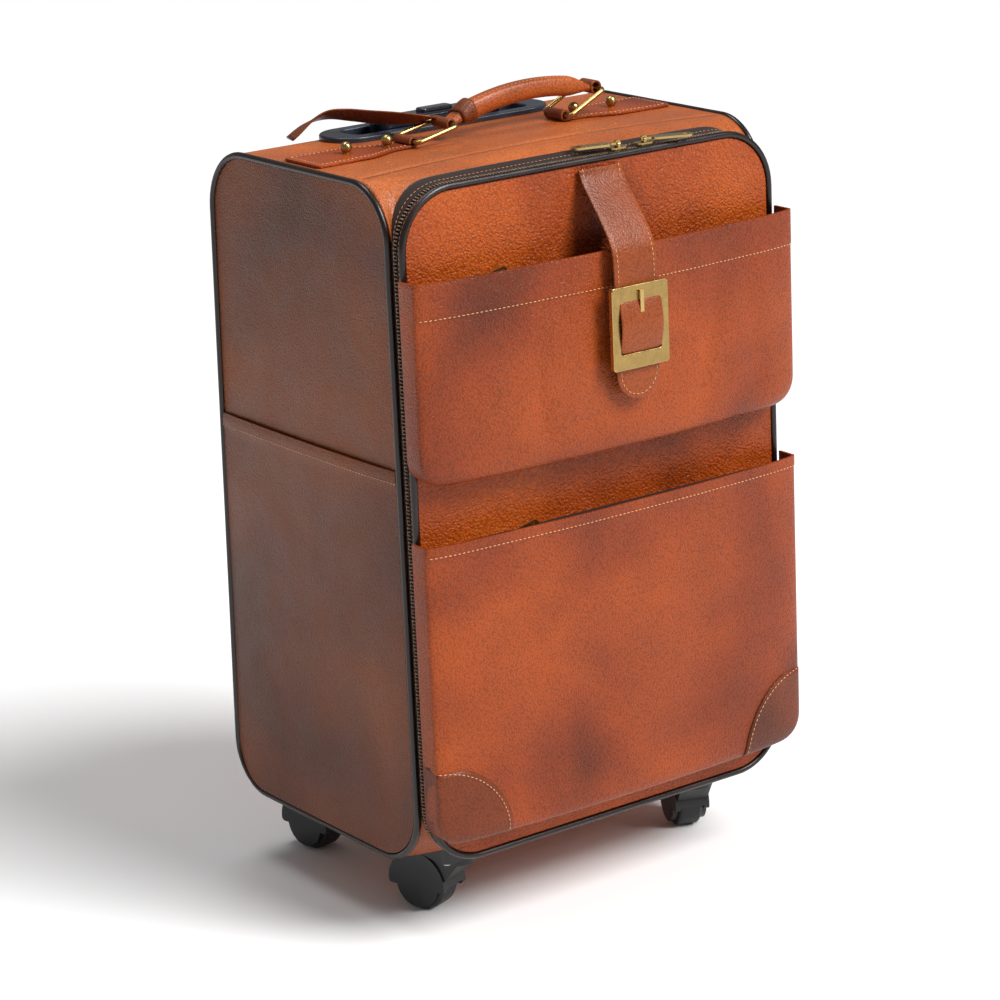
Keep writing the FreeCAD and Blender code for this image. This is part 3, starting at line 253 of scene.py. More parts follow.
def rounded(corners, steps=10):
    """Arc points at each corner (u, v, radius) of a closed outline, in order."""
    arcs = []
    for i, (u, v, radius) in enumerate(corners):
        here = Vector((u, v))
        back = (Vector(corners[i - 1][:2]) - here).normalized()
        ahead = (Vector(corners[(i + 1) % len(corners)][:2]) - here).normalized()
        half = back.angle(ahead) / 2
        centre = here + (back + ahead).normalized() * radius / math.sin(half)
        start = here + back * radius / math.tan(half) - centre
        end = here + ahead * radius / math.tan(half) - centre
        turn = start.angle_signed(end)
        arc = []
        for n in range(steps + 1):
            angle = -turn * n / steps
            c, s = math.cos(angle), math.sin(angle)
            arc.append((centre.x + start.x * c - start.y * s,
                        centre.y + start.x * s + start.y * c))
        arcs.append(arc)
    return arcs


def straight(a, b, steps):
    return [tuple(a[k] + (b[k] - a[k]) * n / steps for k in range(len(a)))
            for n in range(1, steps)]


TOP, UNDER = 553.5, 56.5
HALF = 162.0


def side_arcs(inset, steps=10):
    """Side outline: arcs at top front, top back, low back, low front, as (y, z)."""
    return rounded([(-106 + inset, TOP - inset, 40 - inset),
                    (118.5 - inset, TOP - inset, 46 - inset),
                    (136 - inset, UNDER + inset, 37 - inset),
                    (-106 + inset, UNDER + inset, 44 - inset)], steps)


def lid_arcs(inset, steps=10):
    """Lid outline: arcs at top left, top right, low right, low left, as (x, z)."""
    half, r = HALF - inset, 42 - inset
    return rounded([(-half, 550 - inset, r), (half, 550 - inset, r),
                    (half, 63 + inset, r), (-half, 63 + inset, r)], steps)


def soft_step(value):
    value = min(max(value, 0.0), 1.0)
    return value * value * (3 - 2 * value)


def ripple(x, y, z, seed, size):
    """Smooth sum of a few waves, -1 to 1, for hand-made unevenness."""
    draw = np.random.default_rng(seed)
    total = 0.0
    for _ in range(5):
        direction = draw.normal(size=3)
        direction /= np.linalg.norm(direction)
        phase = draw.uniform(0, 6.28)
        total += math.sin((direction @ np.array([x, y, z])) * 6.28 / size + phase)
    return total / 5


def crown(x, y):
    """Height that the stuffed top stands above its flat board towards the front."""
    across = max(0.0, 1 - (x / 158) ** 2)
    along = soft_step((-y - 8) / 60) * soft_step((y + 112) / 26)
    return 4.2 * across * along


arcs = side_arcs(0)
chain = [arcs[0][-1]] + straight(arcs[0][-1], arcs[1][0], 16) + arcs[1]
chain += straight(arcs[1][-1], arcs[2][0], 24) + arcs[2]
chain += straight(arcs[2][-1], arcs[3][0], 16) + [arcs[3][0]]
across = [HALF * math.sin(math.pi / 2 * n / 16) for n in range(-16, 17)]
rows = []
for y, z in chain:
    row = []
    for x in across:
        lift = crown(x, y) if z > 500 else 0.0
        belly = 1.2 * (1 - (x / HALF) ** 2) * ripple(x, y, z, 3, 190)
        if z < 500 and z > 80:
            row.append((x, y + 0.8 + belly, z))
        else:
            row.append((x, y, z + lift * (1 + 0.12 * ripple(x, y, 0, 4, 120))))
    rows.append(row)
# the trolley's well passes through the top, under the bezel's flange
verts, faces = grid(rows, keep=lambda c: not (abs(c[0]) < 86 and 48 < c[1] < 88 and c[2] > 500))

low_arcs, front_arcs = side_arcs(0, 12), lid_arcs(0, 12)


def side_loop(sign):
    """Front part of a side outline from the top down, at the side given by sign."""
    top, low = low_arcs[0][::-1], low_arcs[3][::-1]
    points = top + straight(top[-1], low[0], 20) + low
    return [(sign * HALF, y, z) for y, z in points]


left, right = side_loop(-1), side_loop(1)
edge = [x for x in across if abs(x) < HALF - 0.01]
outer = [(x, -66.0, TOP + crown(x, -66)) for x in edge] + right
outer += [(-x, -62.0, UNDER) for x in edge] + left[::-1]


def lid_side(sign):
    arc_top = front_arcs[1] if sign > 0 else front_arcs[0][::-1]
    arc_low = front_arcs[2] if sign > 0 else front_arcs[3][::-1]
    points = arc_top + straight(arc_top[-1], arc_low[0], 20) + arc_low
    return [(x, -109.0, z) for x, z in points]


flat = 120.0 / HALF
inner = [(x * flat, -109.0, 550.0) for x in edge] + lid_side(1)
inner += [(-x * flat, -109.0, 63.0) for x in edge] + lid_side(-1)[::-1]


def leather_rim(x, z):
    """Leather's front edge along the zip: how far it is drawn back and how far up."""
    back = 11.0 * soft_step((z - 508) / 36)
    return back, (2.6 + 1.6 * max(0.0, 1 - (x / 125) ** 2)) * soft_step((z - 530) / 20)


inner = [(x, y + leather_rim(x, z)[0], z + leather_rim(x, z)[1]) for x, y, z in inner]


def hem_direction(point):
    """Direction in which the leather leaves the side seam at a point of the outline."""
    x, y, z = point
    inward = 0.0
    if abs(x) > HALF - 0.01:
        for centre in ((-66, 513.5), (-62, 100.5)):
            angle = math.atan2(abs(z - centre[1]), -(y - centre[0]))
            if (z > 500) == (centre[1] > 500) and (z > 513.5 or z < 100.5):
                inward = math.sin(2 * min(max(angle, 0), math.pi / 2))
    turned = Vector((-math.copysign(inward, x), -(1 - 0.75 * inward), 0))
    return turned.normalized()


steps = 8
loft = []
for n in range(steps + 1):
    s = n / steps
    h = (2 * s ** 3 - 3 * s ** 2 + 1, s ** 3 - 2 * s ** 2 + s,
         -2 * s ** 3 + 3 * s ** 2, s ** 3 - s ** 2)
    row = []
    for a, b in zip(outer, inner):
        a, b = Vector(a), Vector(b)
        reach = (b - a).length
        point = a * h[0] + hem_direction(a) * reach * h[1] + b * h[2] \
            + Vector((0, -1, 0)) * reach * h[3]
        if abs(a.x) < HALF - 0.01 and a.z > 500:
            point.z = TOP + (b.z - TOP) * s + crown(point.x, point.y) * (1 - s ** 3)
        row.append(tuple(point))
    loft.append(row)
more, extra = grid(loft, closed=True)
count = len(verts)
faces += [tuple(n + count for n in face) for face in extra]
make_piece("body_leather", (verts + more, faces), "root", "leather", body_skin, ["leather_wrap"],
           thick=1.5)

# ---- Side panels ------------------------------------------------------------------
# Each side is a flat board under a smoother hide, with a slip pocket of the same hide
# sewn over its lower part; the pocket's mouth is a turned and stitched hem.

# the sides' hide is coloured darker than the body's: painted shade for the side turned away from
# the light
side_skin_with_painted_shade = leather("smooth cowhide, sides, darkened as painted shade", "#84400f", "#6c320d", "#4b2108", 1.3, 0.22, 0.38,
                    patch_mm=150, seed=3.0)


def extent(arcs_of, inset, z):
    """Front and back (or left and right) of an outline at a height."""
    points = [p for arc in arcs_of(inset, 24) for p in arc]
    zs = [p[1] for p in points]
    z = min(max(z, min(zs) + 1e-6), max(zs) - 1e-6)
    hits = []
    for a, b in zip(points, points[1:] + points[:1]):
        if (a[1] - z) * (b[1] - z) <= 0 and abs(a[1] - b[1]) > 1e-9:
            hits.append(a[0] + (b[0] - a[0]) * (z - a[1]) / (b[1] - a[1]))
    return min(hits), max(hits)


def eased(low, high, count):
    """Positions from low to high, closer together at both ends."""
    return [low + (high - low) * (1 - math.cos(math.pi * n / count)) / 2
            for n in range(count + 1)]


POCKET_MOUTH = 354.0


def side_surface(sign, y, z, pocket):
    """How far the side stands out at (y, z): a low pillow, fuller over the pocket."""
    low, high = UNDER, TOP
    u = (y - 10) / 118
    v = (z - (low + high) / 2) / (high - low) * 2
    pillow = max(0.0, (1 - abs(u) ** 2.6)) * max(0.0, (1 - abs(v) ** 4))
    x = 164.3 + 1.6 * pillow + 0.5 * pillow * ripple(0, y, z, 11 if sign < 0 else 12, 120)
    if pocket:
        edge = min(1.0, max(0.0, 1 - abs(u) ** 5))
        x += 1.0 + 1.6 * edge + 0.9 * soft_step(1 - abs(z - (POCKET_MOUTH - 6)) / 8)
    return sign * x


for sign, name in ((-1, "left"), (1, "right")):
    rows = []
    for z in eased(UNDER + 3.5, TOP - 3.5, 60):
        y0, y1 = extent(side_arcs, 3.4, z)
        rows.append([(side_surface(sign, y, z, False), y, z) for y in eased(y0, y1, 36)])
    make_piece("side_leather_" + name, grid(rows), "root", "side_leather", side_skin_with_painted_shade,
               ["side_panel_" + name], toward=(sign, 0, 0), thick=1.6, fix=False)
    rows = []
    for z in eased(UNDER + 3.6, POCKET_MOUTH, 44):
        y0, y1 = extent(side_arcs, 3.6, z)
        rows.append([(side_surface(sign, y, z, True), y, z) for y in eased(y0, y1, 36)])
    make_piece("side_slip_pocket_" + name, grid(rows), "root", "side_leather", side_skin_with_painted_shade,
               ["side_pocket_" + name], toward=(sign, 0, 0), thick=1.4, fix=False)

# ---- Lid leather ------------------------------------------------------------------
# The lid's face is the coarsest part of the hide, laid over foam on a board, so it is
# slightly domed and rolls back into the piping all round.

lid_skin = leather("coarse pebbled cowhide, lid", "#bb5414", "#a2430f", "#6e2b09", 1.8, 0.55,
                   0.32, patch_mm=120, seed=7.0)


def lid_surface(x, z):
    u, v = x / 160, (z - 306.5) / 241
    dome = max(0.0, 1 - abs(u) ** 5) * max(0.0, 1 - abs(v) ** 7)
    return -(119.6 + 1.0 * dome + 0.35 * dome * ripple(x, 0, z, 21, 90))


rows = []
for z in eased(65.3, 547.7, 70):
    x0, x1 = extent(lid_arcs, 2.3, z)
    rows.append([(x, lid_surface(x, z), z) for x in eased(x0, x1, 50)])
make_piece("lid_leather", grid(rows), "lid", "leather", lid_skin, ["lid_panel"], toward=(0, -1, 0),
           thick=1.2, fix=False)

# ---- Front pockets ----------------------------------------------------------------
# Two bellows pockets cut from one hide each, turned under and sewn to the lid, fuller in
# the middle than at the sides, with a wide stitched hem along the mouth.

pocket_skin = leather("pebbled cowhide, pockets", "#a4460f", "#8e380c", "#642608", 1.4, 0.42,
                      0.35, patch_mm=135, seed=11.0)
POCKETS = {
    "upper": dict(low=347.0, top=492.0, side=18.0, middle=30.0, hem=27.0, seed=31,
                  folds=((-62, 7, 2.2), (-22, 12, 0.8), (78, 8, 1.8), (118, 10, 1.6))),
    "lower": dict(low=83.0, top=306.0, side=17.0, middle=27.5, hem=9.0, seed=32,
                  folds=((-90, 26, 0.8), (60, 30, 0.9))),
}
POCKET_HALF = 168.0
POCKET_CORNER = 20.0


def pocket_half(p, z):
    """Half width of a pocket, narrower in its rounded low corners."""
    rise = z - p["low"]
    if rise >= POCKET_CORNER:
        return POCKET_HALF
    return POCKET_HALF - POCKET_CORNER + math.sqrt(
        max(0.0, POCKET_CORNER ** 2 - (POCKET_CORNER - rise) ** 2))


def pocket_depth(p, x, z):
    """How far a pocket's leather stands in front of the lid's leather."""
    rise = z - p["low"]
    half = POCKET_HALF
    if rise < POCKET_CORNER:
        half -= POCKET_CORNER - math.sqrt(max(0.0, POCKET_CORNER ** 2
                                              - (POCKET_CORNER - rise) ** 2))
    u = min(abs(x) / half, 1.0)
    v = rise / (p["top"] - p["low"])
    depth = p["side"] + (p["middle"] - p["side"]) * (1 - u ** 2.2) ** 0.75
    depth *= 1 - 0.07 * soft_step((v - 0.6) / 0.4) * (1 - u ** 4)
    wall = (1 - u ** 22) ** (1 / 22) * (1 - (1 - v) ** 14) ** (1 / 14) if v > 0 else 0.0
    loose = (1 - u ** 8) * soft_step(v * 5)
    depth += 0.7 * loose * ripple(x, 0, z, p["seed"], 95)
    for centre, width, strength in p["folds"]:
        lean = centre + 10 * math.sin(z / 40 + centre)
        fold = math.exp(-((x - lean) / width) ** 2) * soft_step(v * 4) * (1 - 0.8 * v)
        depth -= strength * fold
    depth += 0.8 * soft_step((z - (p["top"] - p["hem"])) / 1.5)
    return max(0.0, depth * wall)


def on_pocket(p, x, z, out=0.0):
    return (x, -(LID_LEATHER_FACE + pocket_depth(p, x, z) + out), z)


for name, p in POCKETS.items():
    rows = []
    height = p["top"] - p["low"]
    heights = [p["low"] + height * (1 - math.cos(math.pi / 2 * n / 40)) for n in range(40)]
    edge = p["top"] - p["hem"]
    heights = [z for z in heights if z < edge - 1] + [edge - 0.4, edge + 0.6, edge + 1.8]
    heights += [edge + 1.8 + (p["top"] - edge - 1.8) * n / 8 for n in range(1, 9)]
    for z in heights:
        half = pocket_half(p, z)
        rows.append([on_pocket(p, half * math.sin(math.pi / 2 * n / 64), z)
                     for n in range(-64, 65)])
    make_piece(name + "_pocket_leather", grid(rows), "lid", "pocket_leather", pocket_skin,
               [name + "_pocket"], toward=(0, -1, 0), thick=2.0, bevel=0.5, fix=False)

# ---- Corner patches ---------------------------------------------------------------
# Two quarter-round reinforcements of thinner leather, sewn on the lower pocket's bottom
# corners with one line of stitches along the curved edge.

patch_skin = leather("thin cowhide, corner patches", "#7a340e", "#662a0c", "#4b1e08", 1.4, 0.34,
                     0.38, patch_mm=90, seed=14.0)
PATCH = 60.0
lower = POCKETS["lower"]
patch_rims = []
for sign, name in ((-1, "left"), (1, "right")):
    rows, rim = [], []
    for i in range(25):
        rise = PATCH * (1 - math.cos(math.pi / 2 * i / 24))
        z = lower["low"] + rise
        half = pocket_half(lower, z)
        reach = math.sqrt(max(0.0, PATCH ** 2 - rise ** 2))
        inner_x = min(max(POCKET_HALF - reach, 0), half)
        row = []
        for n in range(29):
            x = half - (half - inner_x) * (1 - math.cos(math.pi / 2 * n / 28))
            row.append(on_pocket(lower, sign * x, z, 0.9))
        rows.append(row)
    make_piece("corner_patch_" + name, grid(rows), "lid", "pocket_leather", patch_skin,
               ["corner_patches"] if sign < 0 else [], toward=(0, -1, 0), thick=0.9, fix=False)
    for n in range(2, 44):
        angle = math.pi / 2 * n / 44
        z = lower["low"] + (PATCH - 3) * math.sin(angle)
        x = POCKET_HALF - (PATCH - 3) * math.cos(angle)
        rim.append(on_pocket(lower, sign * min(x, pocket_half(lower, z) - 0.3), z, 1.2))
    patch_rims.append(rim)

# ---- Stitches ---------------------------------------------------------------------
# Waxed polyester thread, lock-stitched at about seven to the inch. Each stitch is a short
# plump loop sunk into the leather, so a line of them reads as dashes of pale thread.


def stitch_tree():
    """Geometry Nodes tree: stitches of a given pitch, length and width along a curve."""
    tree = bpy.data.node_groups.new("lock stitches", "GeometryNodeTree")
    face = tree.interface
    face.new_socket("Geometry", in_out="INPUT", socket_type="NodeSocketGeometry")
    for label, default in (("Pitch", 0.0036), ("Length", 0.0026), ("Width", 0.0008),
                           ("Height", 0.0006)):
        face.new_socket(label, in_out="INPUT", socket_type="NodeSocketFloat")\
            .default_value = default
    face.new_socket("Across", in_out="INPUT", socket_type="NodeSocketVector")
    face.new_socket("Thread", in_out="INPUT", socket_type="NodeSocketMaterial")
    face.new_socket("Geometry", in_out="OUTPUT", socket_type="NodeSocketGeometry")
    source = tree.nodes.new("NodeGroupInput").outputs
    path = add_node(tree, "GeometryNodeMeshToCurve", None, Mesh=source["Geometry"])
    spaced = add_node(tree, "GeometryNodeResampleCurve", {"mode": "LENGTH"},
                      Curve=path.outputs[0], Length=source["Pitch"])
    loop = add_node(tree, "GeometryNodeMeshUVSphere", None, Segments=6, Rings=4, Radius=0.5)
    along = add_node(tree, "FunctionNodeAlignRotationToVector", {"axis": "X"},
                     Vector=add_node(tree, "GeometryNodeInputTangent").outputs[0])
    flat_on = add_node(tree, "FunctionNodeAlignRotationToVector",
                       {"axis": "Z", "pivot_axis": "X"}, Rotation=along.outputs[0],
                       Vector=source["Across"])
    scale = add_node(tree, "ShaderNodeCombineXYZ", None, X=source["Length"], Y=source["Width"],
                     Z=source["Height"])
    placed = add_node(tree, "GeometryNodeInstanceOnPoints", None, Points=spaced.outputs[0],
                      Instance=loop.outputs[0], Rotation=flat_on.outputs[0],
                      Scale=scale.outputs[0])
    real = add_node(tree, "GeometryNodeRealizeInstances", None, Geometry=placed.outputs[0])
    done = add_node(tree, "GeometryNodeSetMaterial", None, Geometry=real.outputs[0],
                    Material=source["Thread"])
    tree.links.new(done.outputs[0], tree.nodes.new("NodeGroupOutput").inputs[0])
    return tree


stitches = stitch_tree()


def nodes_to_mesh(name, paths, tree, **inputs):
    """Run a tree on edge paths in case millimetres and keep the result as plain mesh."""
    verts, edges = [], []
    for path in paths:
        start = len(verts)
        verts += [place(p) for p in path]
        edges += [(n, n + 1) for n in range(start, len(verts) - 1)]
    mesh = bpy.data.meshes.new(name + "_path")
    mesh.from_pydata(verts, edges, [])
    ob = new_object(name, mesh)
    modifier = ob.modifiers.new("tree", "NODES")
    modifier.node_group = tree
    for item in tree.interface.items_tree:
        if item.in_out == "INPUT" and item.name in inputs:
            modifier[item.identifier] = inputs[item.name]
    evaluated = ob.evaluated_get(bpy.context.evaluated_depsgraph_get())
    result = bpy.data.meshes.new_from_object(evaluated)
    ob.modifiers.remove(modifier)
    ob.data = result
    for polygon in result.polygons:
        polygon.use_smooth = True
    return ob


thread, tree, yarn = new_material("waxed polyester thread", Roughness=0.5, IOR=1.5,
                                  Sheen_Weight=0.2)
twist = noise(tree, object_space(tree), 900.0, 1.0)
feed(tree, yarn, Base_Color=ramp(tree, twist, [(0.3, "#c07a42"), (0.7, "#efae74")]))


def sew(name, body, paths, across=(0.0, -1.0, 0.0), pitch=3.6, length=2.7, width=0.75,
        height=0.5):
    """One piece of stitching along paths, riding on a body."""
    ob = nodes_to_mesh(name, paths, stitches, Pitch=pitch / 1000, Length=length / 1000,
                       Width=width / 1000, Height=height / 1000, Across=across, Thread=thread)
    return finish_piece(ob, body)


hems = []
for name, p in POCKETS.items():
    z = p["top"] - p["hem"] + 1.6
    hems.append([on_pocket(p, 164.5 * n / 90, z, 0.12) for n in range(-90, 91)])
sew("pocket_hem_stitches", "lid", hems)
sew("corner_patch_stitches", "lid", patch_rims)
for sign, name in ((-1, "left"), (1, "right")):
    z = POCKET_MOUTH - 9
    y0, y1 = extent(side_arcs, 5, z)
    line = [(side_surface(sign, y, z, True) + sign * 0.1, y, z)
            for y in [y0 + (y1 - y0) * n / 60 for n in range(61)]]
    sew("side_hem_stitches_" + name, "root", [line], across=(sign, 0.0, 0.0))

# ---- Main zip ---------------------------------------------------------------------
# A number ten coil zip: woven dark brown tape sewn to both rims, with a nylon coil on
# each half whose turns interlock along the middle and catch the light as fine teeth.

tape_cloth, tree, cloth = new_material("woven polyester zip tape", Roughness=0.75,
                                       Sheen_Weight=0.1, Specular_IOR_Level=0.2)
weave = add_node(tree, "ShaderNodeTexWave", {"wave_type": "BANDS", "bands_direction": "DIAGONAL"},
                 Vector=object_space(tree), Scale=420.0, Distortion=1.5,
                 Detail=2.0).outputs["Fac"]
feed(tree, cloth, Base_Color=ramp(tree, weave, [(0.2, "#170c08"), (0.8, "#2e1a13")]),
     Normal=bump(tree, weave, 0.6, 0.0002))
nylon, tree, coil = new_material("moulded nylon coil", Roughness=0.35, IOR=1.53)
feed(tree, coil, Base_Color=ramp(tree, noise(tree, object_space(tree), 700.0),
                                 [(0.3, "#6b5140"), (0.7, "#a58a72")]))


def zip_path(out):
    """Path round the lid outline from bottom right over the top to bottom left."""
    tl, tr, br, bl = lid_arcs(-out, 12)
    low = 63 - out
    points = [(-112.0, low)] + straight((-112.0, low), bl[0], 2) + bl
    points += straight(bl[-1], tl[0], 30) + tl + straight(tl[-1], tr[0], 20) + tr
    points += straight(tr[-1], br[0], 30) + br + straight(br[-1], (112.0, low), 2)
    return points + [(112.0, low)]


def zip_point(x, y, z, on_body, share):
    """Point of the tape; the body's half slopes up to the edge of the top leather."""
    back, up = leather_rim(x, z) if on_body else (0.0, 0.0)
    return x, y + back * share, z + (up + 0.3) * share


for name, body, y0, y1, middle, seam_y, node in (
        ("body", "root", -105.0, -111.2, -111.1, -109.4, "zip_half_body"),
        ("lid", "lid", -116.6, -112.8, -112.9, -115.2, "zip_half_lid")):
    rows = []
    for out, share in ((0.35, 0.0), (0.75, 0.15), (0.85, 0.5), (0.85, 0.8), (1.0, 1.0)):
        rows.append([zip_point(x, y0 + (y1 - y0) * share, z, name == "body", 1 - share)
                     for x, z in zip_path(out)])
    make_piece(name + "_zip_tape", grid(rows), body, "zip_tape", tape_cloth, [node], thick=0.5)
    line = [(x, middle, z) for x, z in zip_path(1.55)]
    teeth = nodes_to_mesh(name + "_zip_coil", [line], stitches, Pitch=0.0026, Length=0.0012,
                          Width=0.0022, Height=0.0015, Across=(0.0, 0.0, 1.0), Thread=nylon)
    finish_piece(teeth, body)
    seam = [zip_point(x, seam_y, z + 0.1, name == "body", 0.42) for x, z in zip_path(0.95)]
    sew(name + "_zip_stitches", body, [seam], across=(0.0, 0.0, 1.0), width=0.5,
        height=0.35)

# ---- Leather hinge ----------------------------------------------------------------
# Where the zip stops along the underside, a strip of the same hide is sewn to both
# halves; on the case it folds when the lid comes down, here it is one still sheet tied to neither
# half.

rows = []
for y, z in ((-91, 57.2), (-96, 58.6), (-101, 60.6), (-106, 61.6), (-109, 61.9), (-111, 61.9),
             (-113, 61.9), (-115, 61.9), (-117, 62.0)):
    rows.append([(x, y, z + 0.2 * ripple(x, y, z, 41, 60)) for x in eased(-112.0, 112.0, 40)])
hinge = mesh_object("hinge_leather", *grid(rows), thick=1.0, fix=False)
facing(hinge, (0, 0, -1))
hinge.data.materials.append(pocket_skin)
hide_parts("hinge_strip")
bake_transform(hinge)

# ---- Piping -----------------------------------------------------------------------
# Calf-covered cord, polished nearly black, round both side panels and round the lid's
# face; it hides the seams and takes the knocks, so its crown is burnished.

polished, tree, cover = new_material("polished calf piping", IOR=1.5, Coat_Weight=0.1,
                                     Coat_Roughness=0.2, Specular_IOR_Level=0.4)
spot = object_space(tree)
tone = noise(tree, spot, 38.0, 3.0)
pores = add_node(tree, "ShaderNodeTexVoronoi", None, Vector=spot, Scale=900.0)
feed(tree, cover, Base_Color=ramp(tree, tone, [(0.3, "#120907"), (0.55, "#1d0f0b"),
                                               (0.75, "#2b1712")]),
     Roughness=spread(tree, tone, 0.22, 0.38),
     Normal=bump(tree, pores.outputs["Distance"], 0.35, 0.0001))


def tube_round(path, radius, plane, seed=1):
    """Closed tube round a flat closed path; plane is the normal of the path's plane."""
    plane, rows = Vector(plane), []
    for n, here in enumerate(path):
        here = Vector(here)
        ahead = (Vector(path[(n + 1) % len(path)]) - Vector(path[n - 1])).normalized()
        out = ahead.cross(plane).normalized()
        r = radius * (1 + 0.03 * ripple(*here, seed, 45))
        rows.append([tuple(here + (out * math.cos(a) + plane * math.sin(a)) * r)
                     for a in (math.tau * k / 14 for k in range(14))])
    return grid(rows + rows[:1], closed=True)


def loop_of(arcs_now, parts=26):
    points = []
    for n, arc in enumerate(arcs_now):
        points += arc + straight(arc[-1], arcs_now[(n + 1) % 4][0], parts)
    return points


for sign, name in ((-1, "left"), (1, "right")):
    path = [(sign * 164.5, y, z) for y, z in loop_of(side_arcs(1.0, 14))]
    make_piece("side_cord_" + name, tube_round(path, 2.5, (1, 0, 0), 51), "root", "piping",
               polished, ["side_piping_" + name])
path = [(x, -119.0, z) for x, z in loop_of(lid_arcs(-0.5, 14))]
make_piece("lid_cord", tube_round(path, 2.5, (0, 1, 0), 52), "lid", "piping", polished,
           ["lid_piping"])

# ---- Closing strap ----------------------------------------------------------------
# Two layers of hide glued back to back and edge-stitched, sewn under the lid's top edge.
# It runs behind the brass frame; a short tab folded over the frame's bar fills its window.

strap_skin = leather("strap cowhide", "#964518", "#823a13", "#5e280d", 1.5, 0.22, 0.38,
                     patch_mm=80, seed=19.0)


def through(points, parts=10):
    """Smooth path through points (Catmull-Rom)."""
    points = [Vector(p) for p in points]
    ends = [points[0] * 2 - points[1]] + points + [points[-1] * 2 - points[-2]]
    path = []
    for a, b, c, d in zip(ends, ends[1:], ends[2:], ends[3:]):
        for n in range(parts):
            s = n / parts
            path.append(0.5 * (b * 2 + (c - a) * s + (a * 2 - b * 5 + c * 4 - d) * s ** 2
                               + (b * 3 - a - c * 3 + d) * s ** 3))
    return path + [points[-1]]


def ribbon(path, width, thick, across=None, sides=28, lean=0.0):
    """Strap with soft edges along a path; width is a function of 0 to 1 along it, and
    lean tips its middle stretch over on one edge."""
    rows, last = [], len(path) - 1
    for n, here in enumerate(path):
        ahead = (path[min(n + 1, last)] - path[max(n - 1, 0)]).normalized()
        side = Vector(across) if across else Vector(
            (-ahead.y, ahead.x, lean * math.sin(math.pi * n / last) ** 2)).normalized()
        up = ahead.cross(side).normalized()
        half = width(n / last) / 2
        row = []
        for k in range(sides):
            a = math.tau * k / sides
            c, s = math.cos(a), math.sin(a)
            u = math.copysign(abs(c) ** 0.32, c) * half
            v = math.copysign(abs(s) ** 0.6, s) * thick / 2
            row.append(tuple(here + side * u + up * v))
        rows.append(row)
    verts, faces = grid(rows, closed=True)
    count = len(verts)
    faces.append(tuple(range(sides)))
    faces.append(tuple(range(count - sides, count)))
    return verts, faces


STRAP_X, STRAP_FACE = 6.0, -158.6
STRAP_TIP, STRAP_HALF = 385.0, 19.0
strap_line = through([(STRAP_X, y, z) for y, z in (
    (-122.2, 545), (-124.2, 539), (-130.2, 530.5), (-138.0, 521), (-146.4, 510.5),
    (-154.0, 499.5), (-158.2, 486), (STRAP_FACE, 455), (STRAP_FACE, 430), (STRAP_FACE, 405))], 8)
strap_line += [Vector((STRAP_X, STRAP_FACE, 405 - 20 * math.sin(math.pi / 2 * n / 16)))
               for n in range(1, 17)]


def strap_width(s):
    """Full width down to the half-round tip."""
    last = len(strap_line) - 1
    rise = strap_line[min(round(s * last), last)].z - STRAP_TIP
    if rise > STRAP_HALF:
        return 2 * STRAP_HALF
    return 2 * math.sqrt(max(0.5, STRAP_HALF ** 2 - (STRAP_HALF - rise) ** 2))


make_piece("strap_leather", ribbon(strap_line, strap_width, 2.4, (1, 0, 0)), "strap",
           "pocket_leather", strap_skin, ["closing_strap"])
edge_lines = []
for sign in (-1, 1):
    edge_lines.append([(STRAP_X + sign * 15.8, p.y - 1.25, p.z - 0.3)
                       for p in strap_line if p.z > 404])
edge_lines.append([(STRAP_X + 15.8 * math.cos(a), -159.9, 404 + 15.8 * math.sin(a))
                   for a in (-math.pi * n / 24 for n in range(25))])
sew("strap_stitches", "strap", edge_lines, width=0.65)
tab_line = [Vector((STRAP_X, -162.0 - 3.4 * math.sin(math.pi * n / 20), 458.5 - 39 * n / 20))
            for n in range(21)]
tab_line[0].y = -161.0
tab_line[-1].y = -161.2


def tab_width(s):
    rise = (1 - s) * 39
    return 37.0 if rise > 3 else 37.0 - 6 * (1 - math.sqrt(max(0.0, 1 - (1 - rise / 3) ** 2)))


make_piece("buckle_tab", ribbon(tab_line, tab_width, 2.2, (1, 0, 0)), "strap", "pocket_leather",
           strap_skin)

# ---- Handle anchors ---------------------------------------------------------------
# Tapered tabs of hide sewn to the top, held by ball studs, and rolled round the rings'
# bars; their cut edges, pale on the case, are drawn in the tab's own colour, and the rolled part
# has darkened with handling.

dark_skin = leather("handled cowhide", "#8c441c", "#743614", "#4a210d", 1.3, 0.18, 0.40,
                    patch_mm=60, seed=23.0)
HANDLE_Y = 8.0
RING_X = 68.0
PIVOT_Z = TOP + 4.5


def tab_half(x):
    """Half width of an anchor at |x|."""
    return 11 + 10.5 * soft_step((x - 80) / 34) + 0.8 * soft_step((x - 112) / 40)


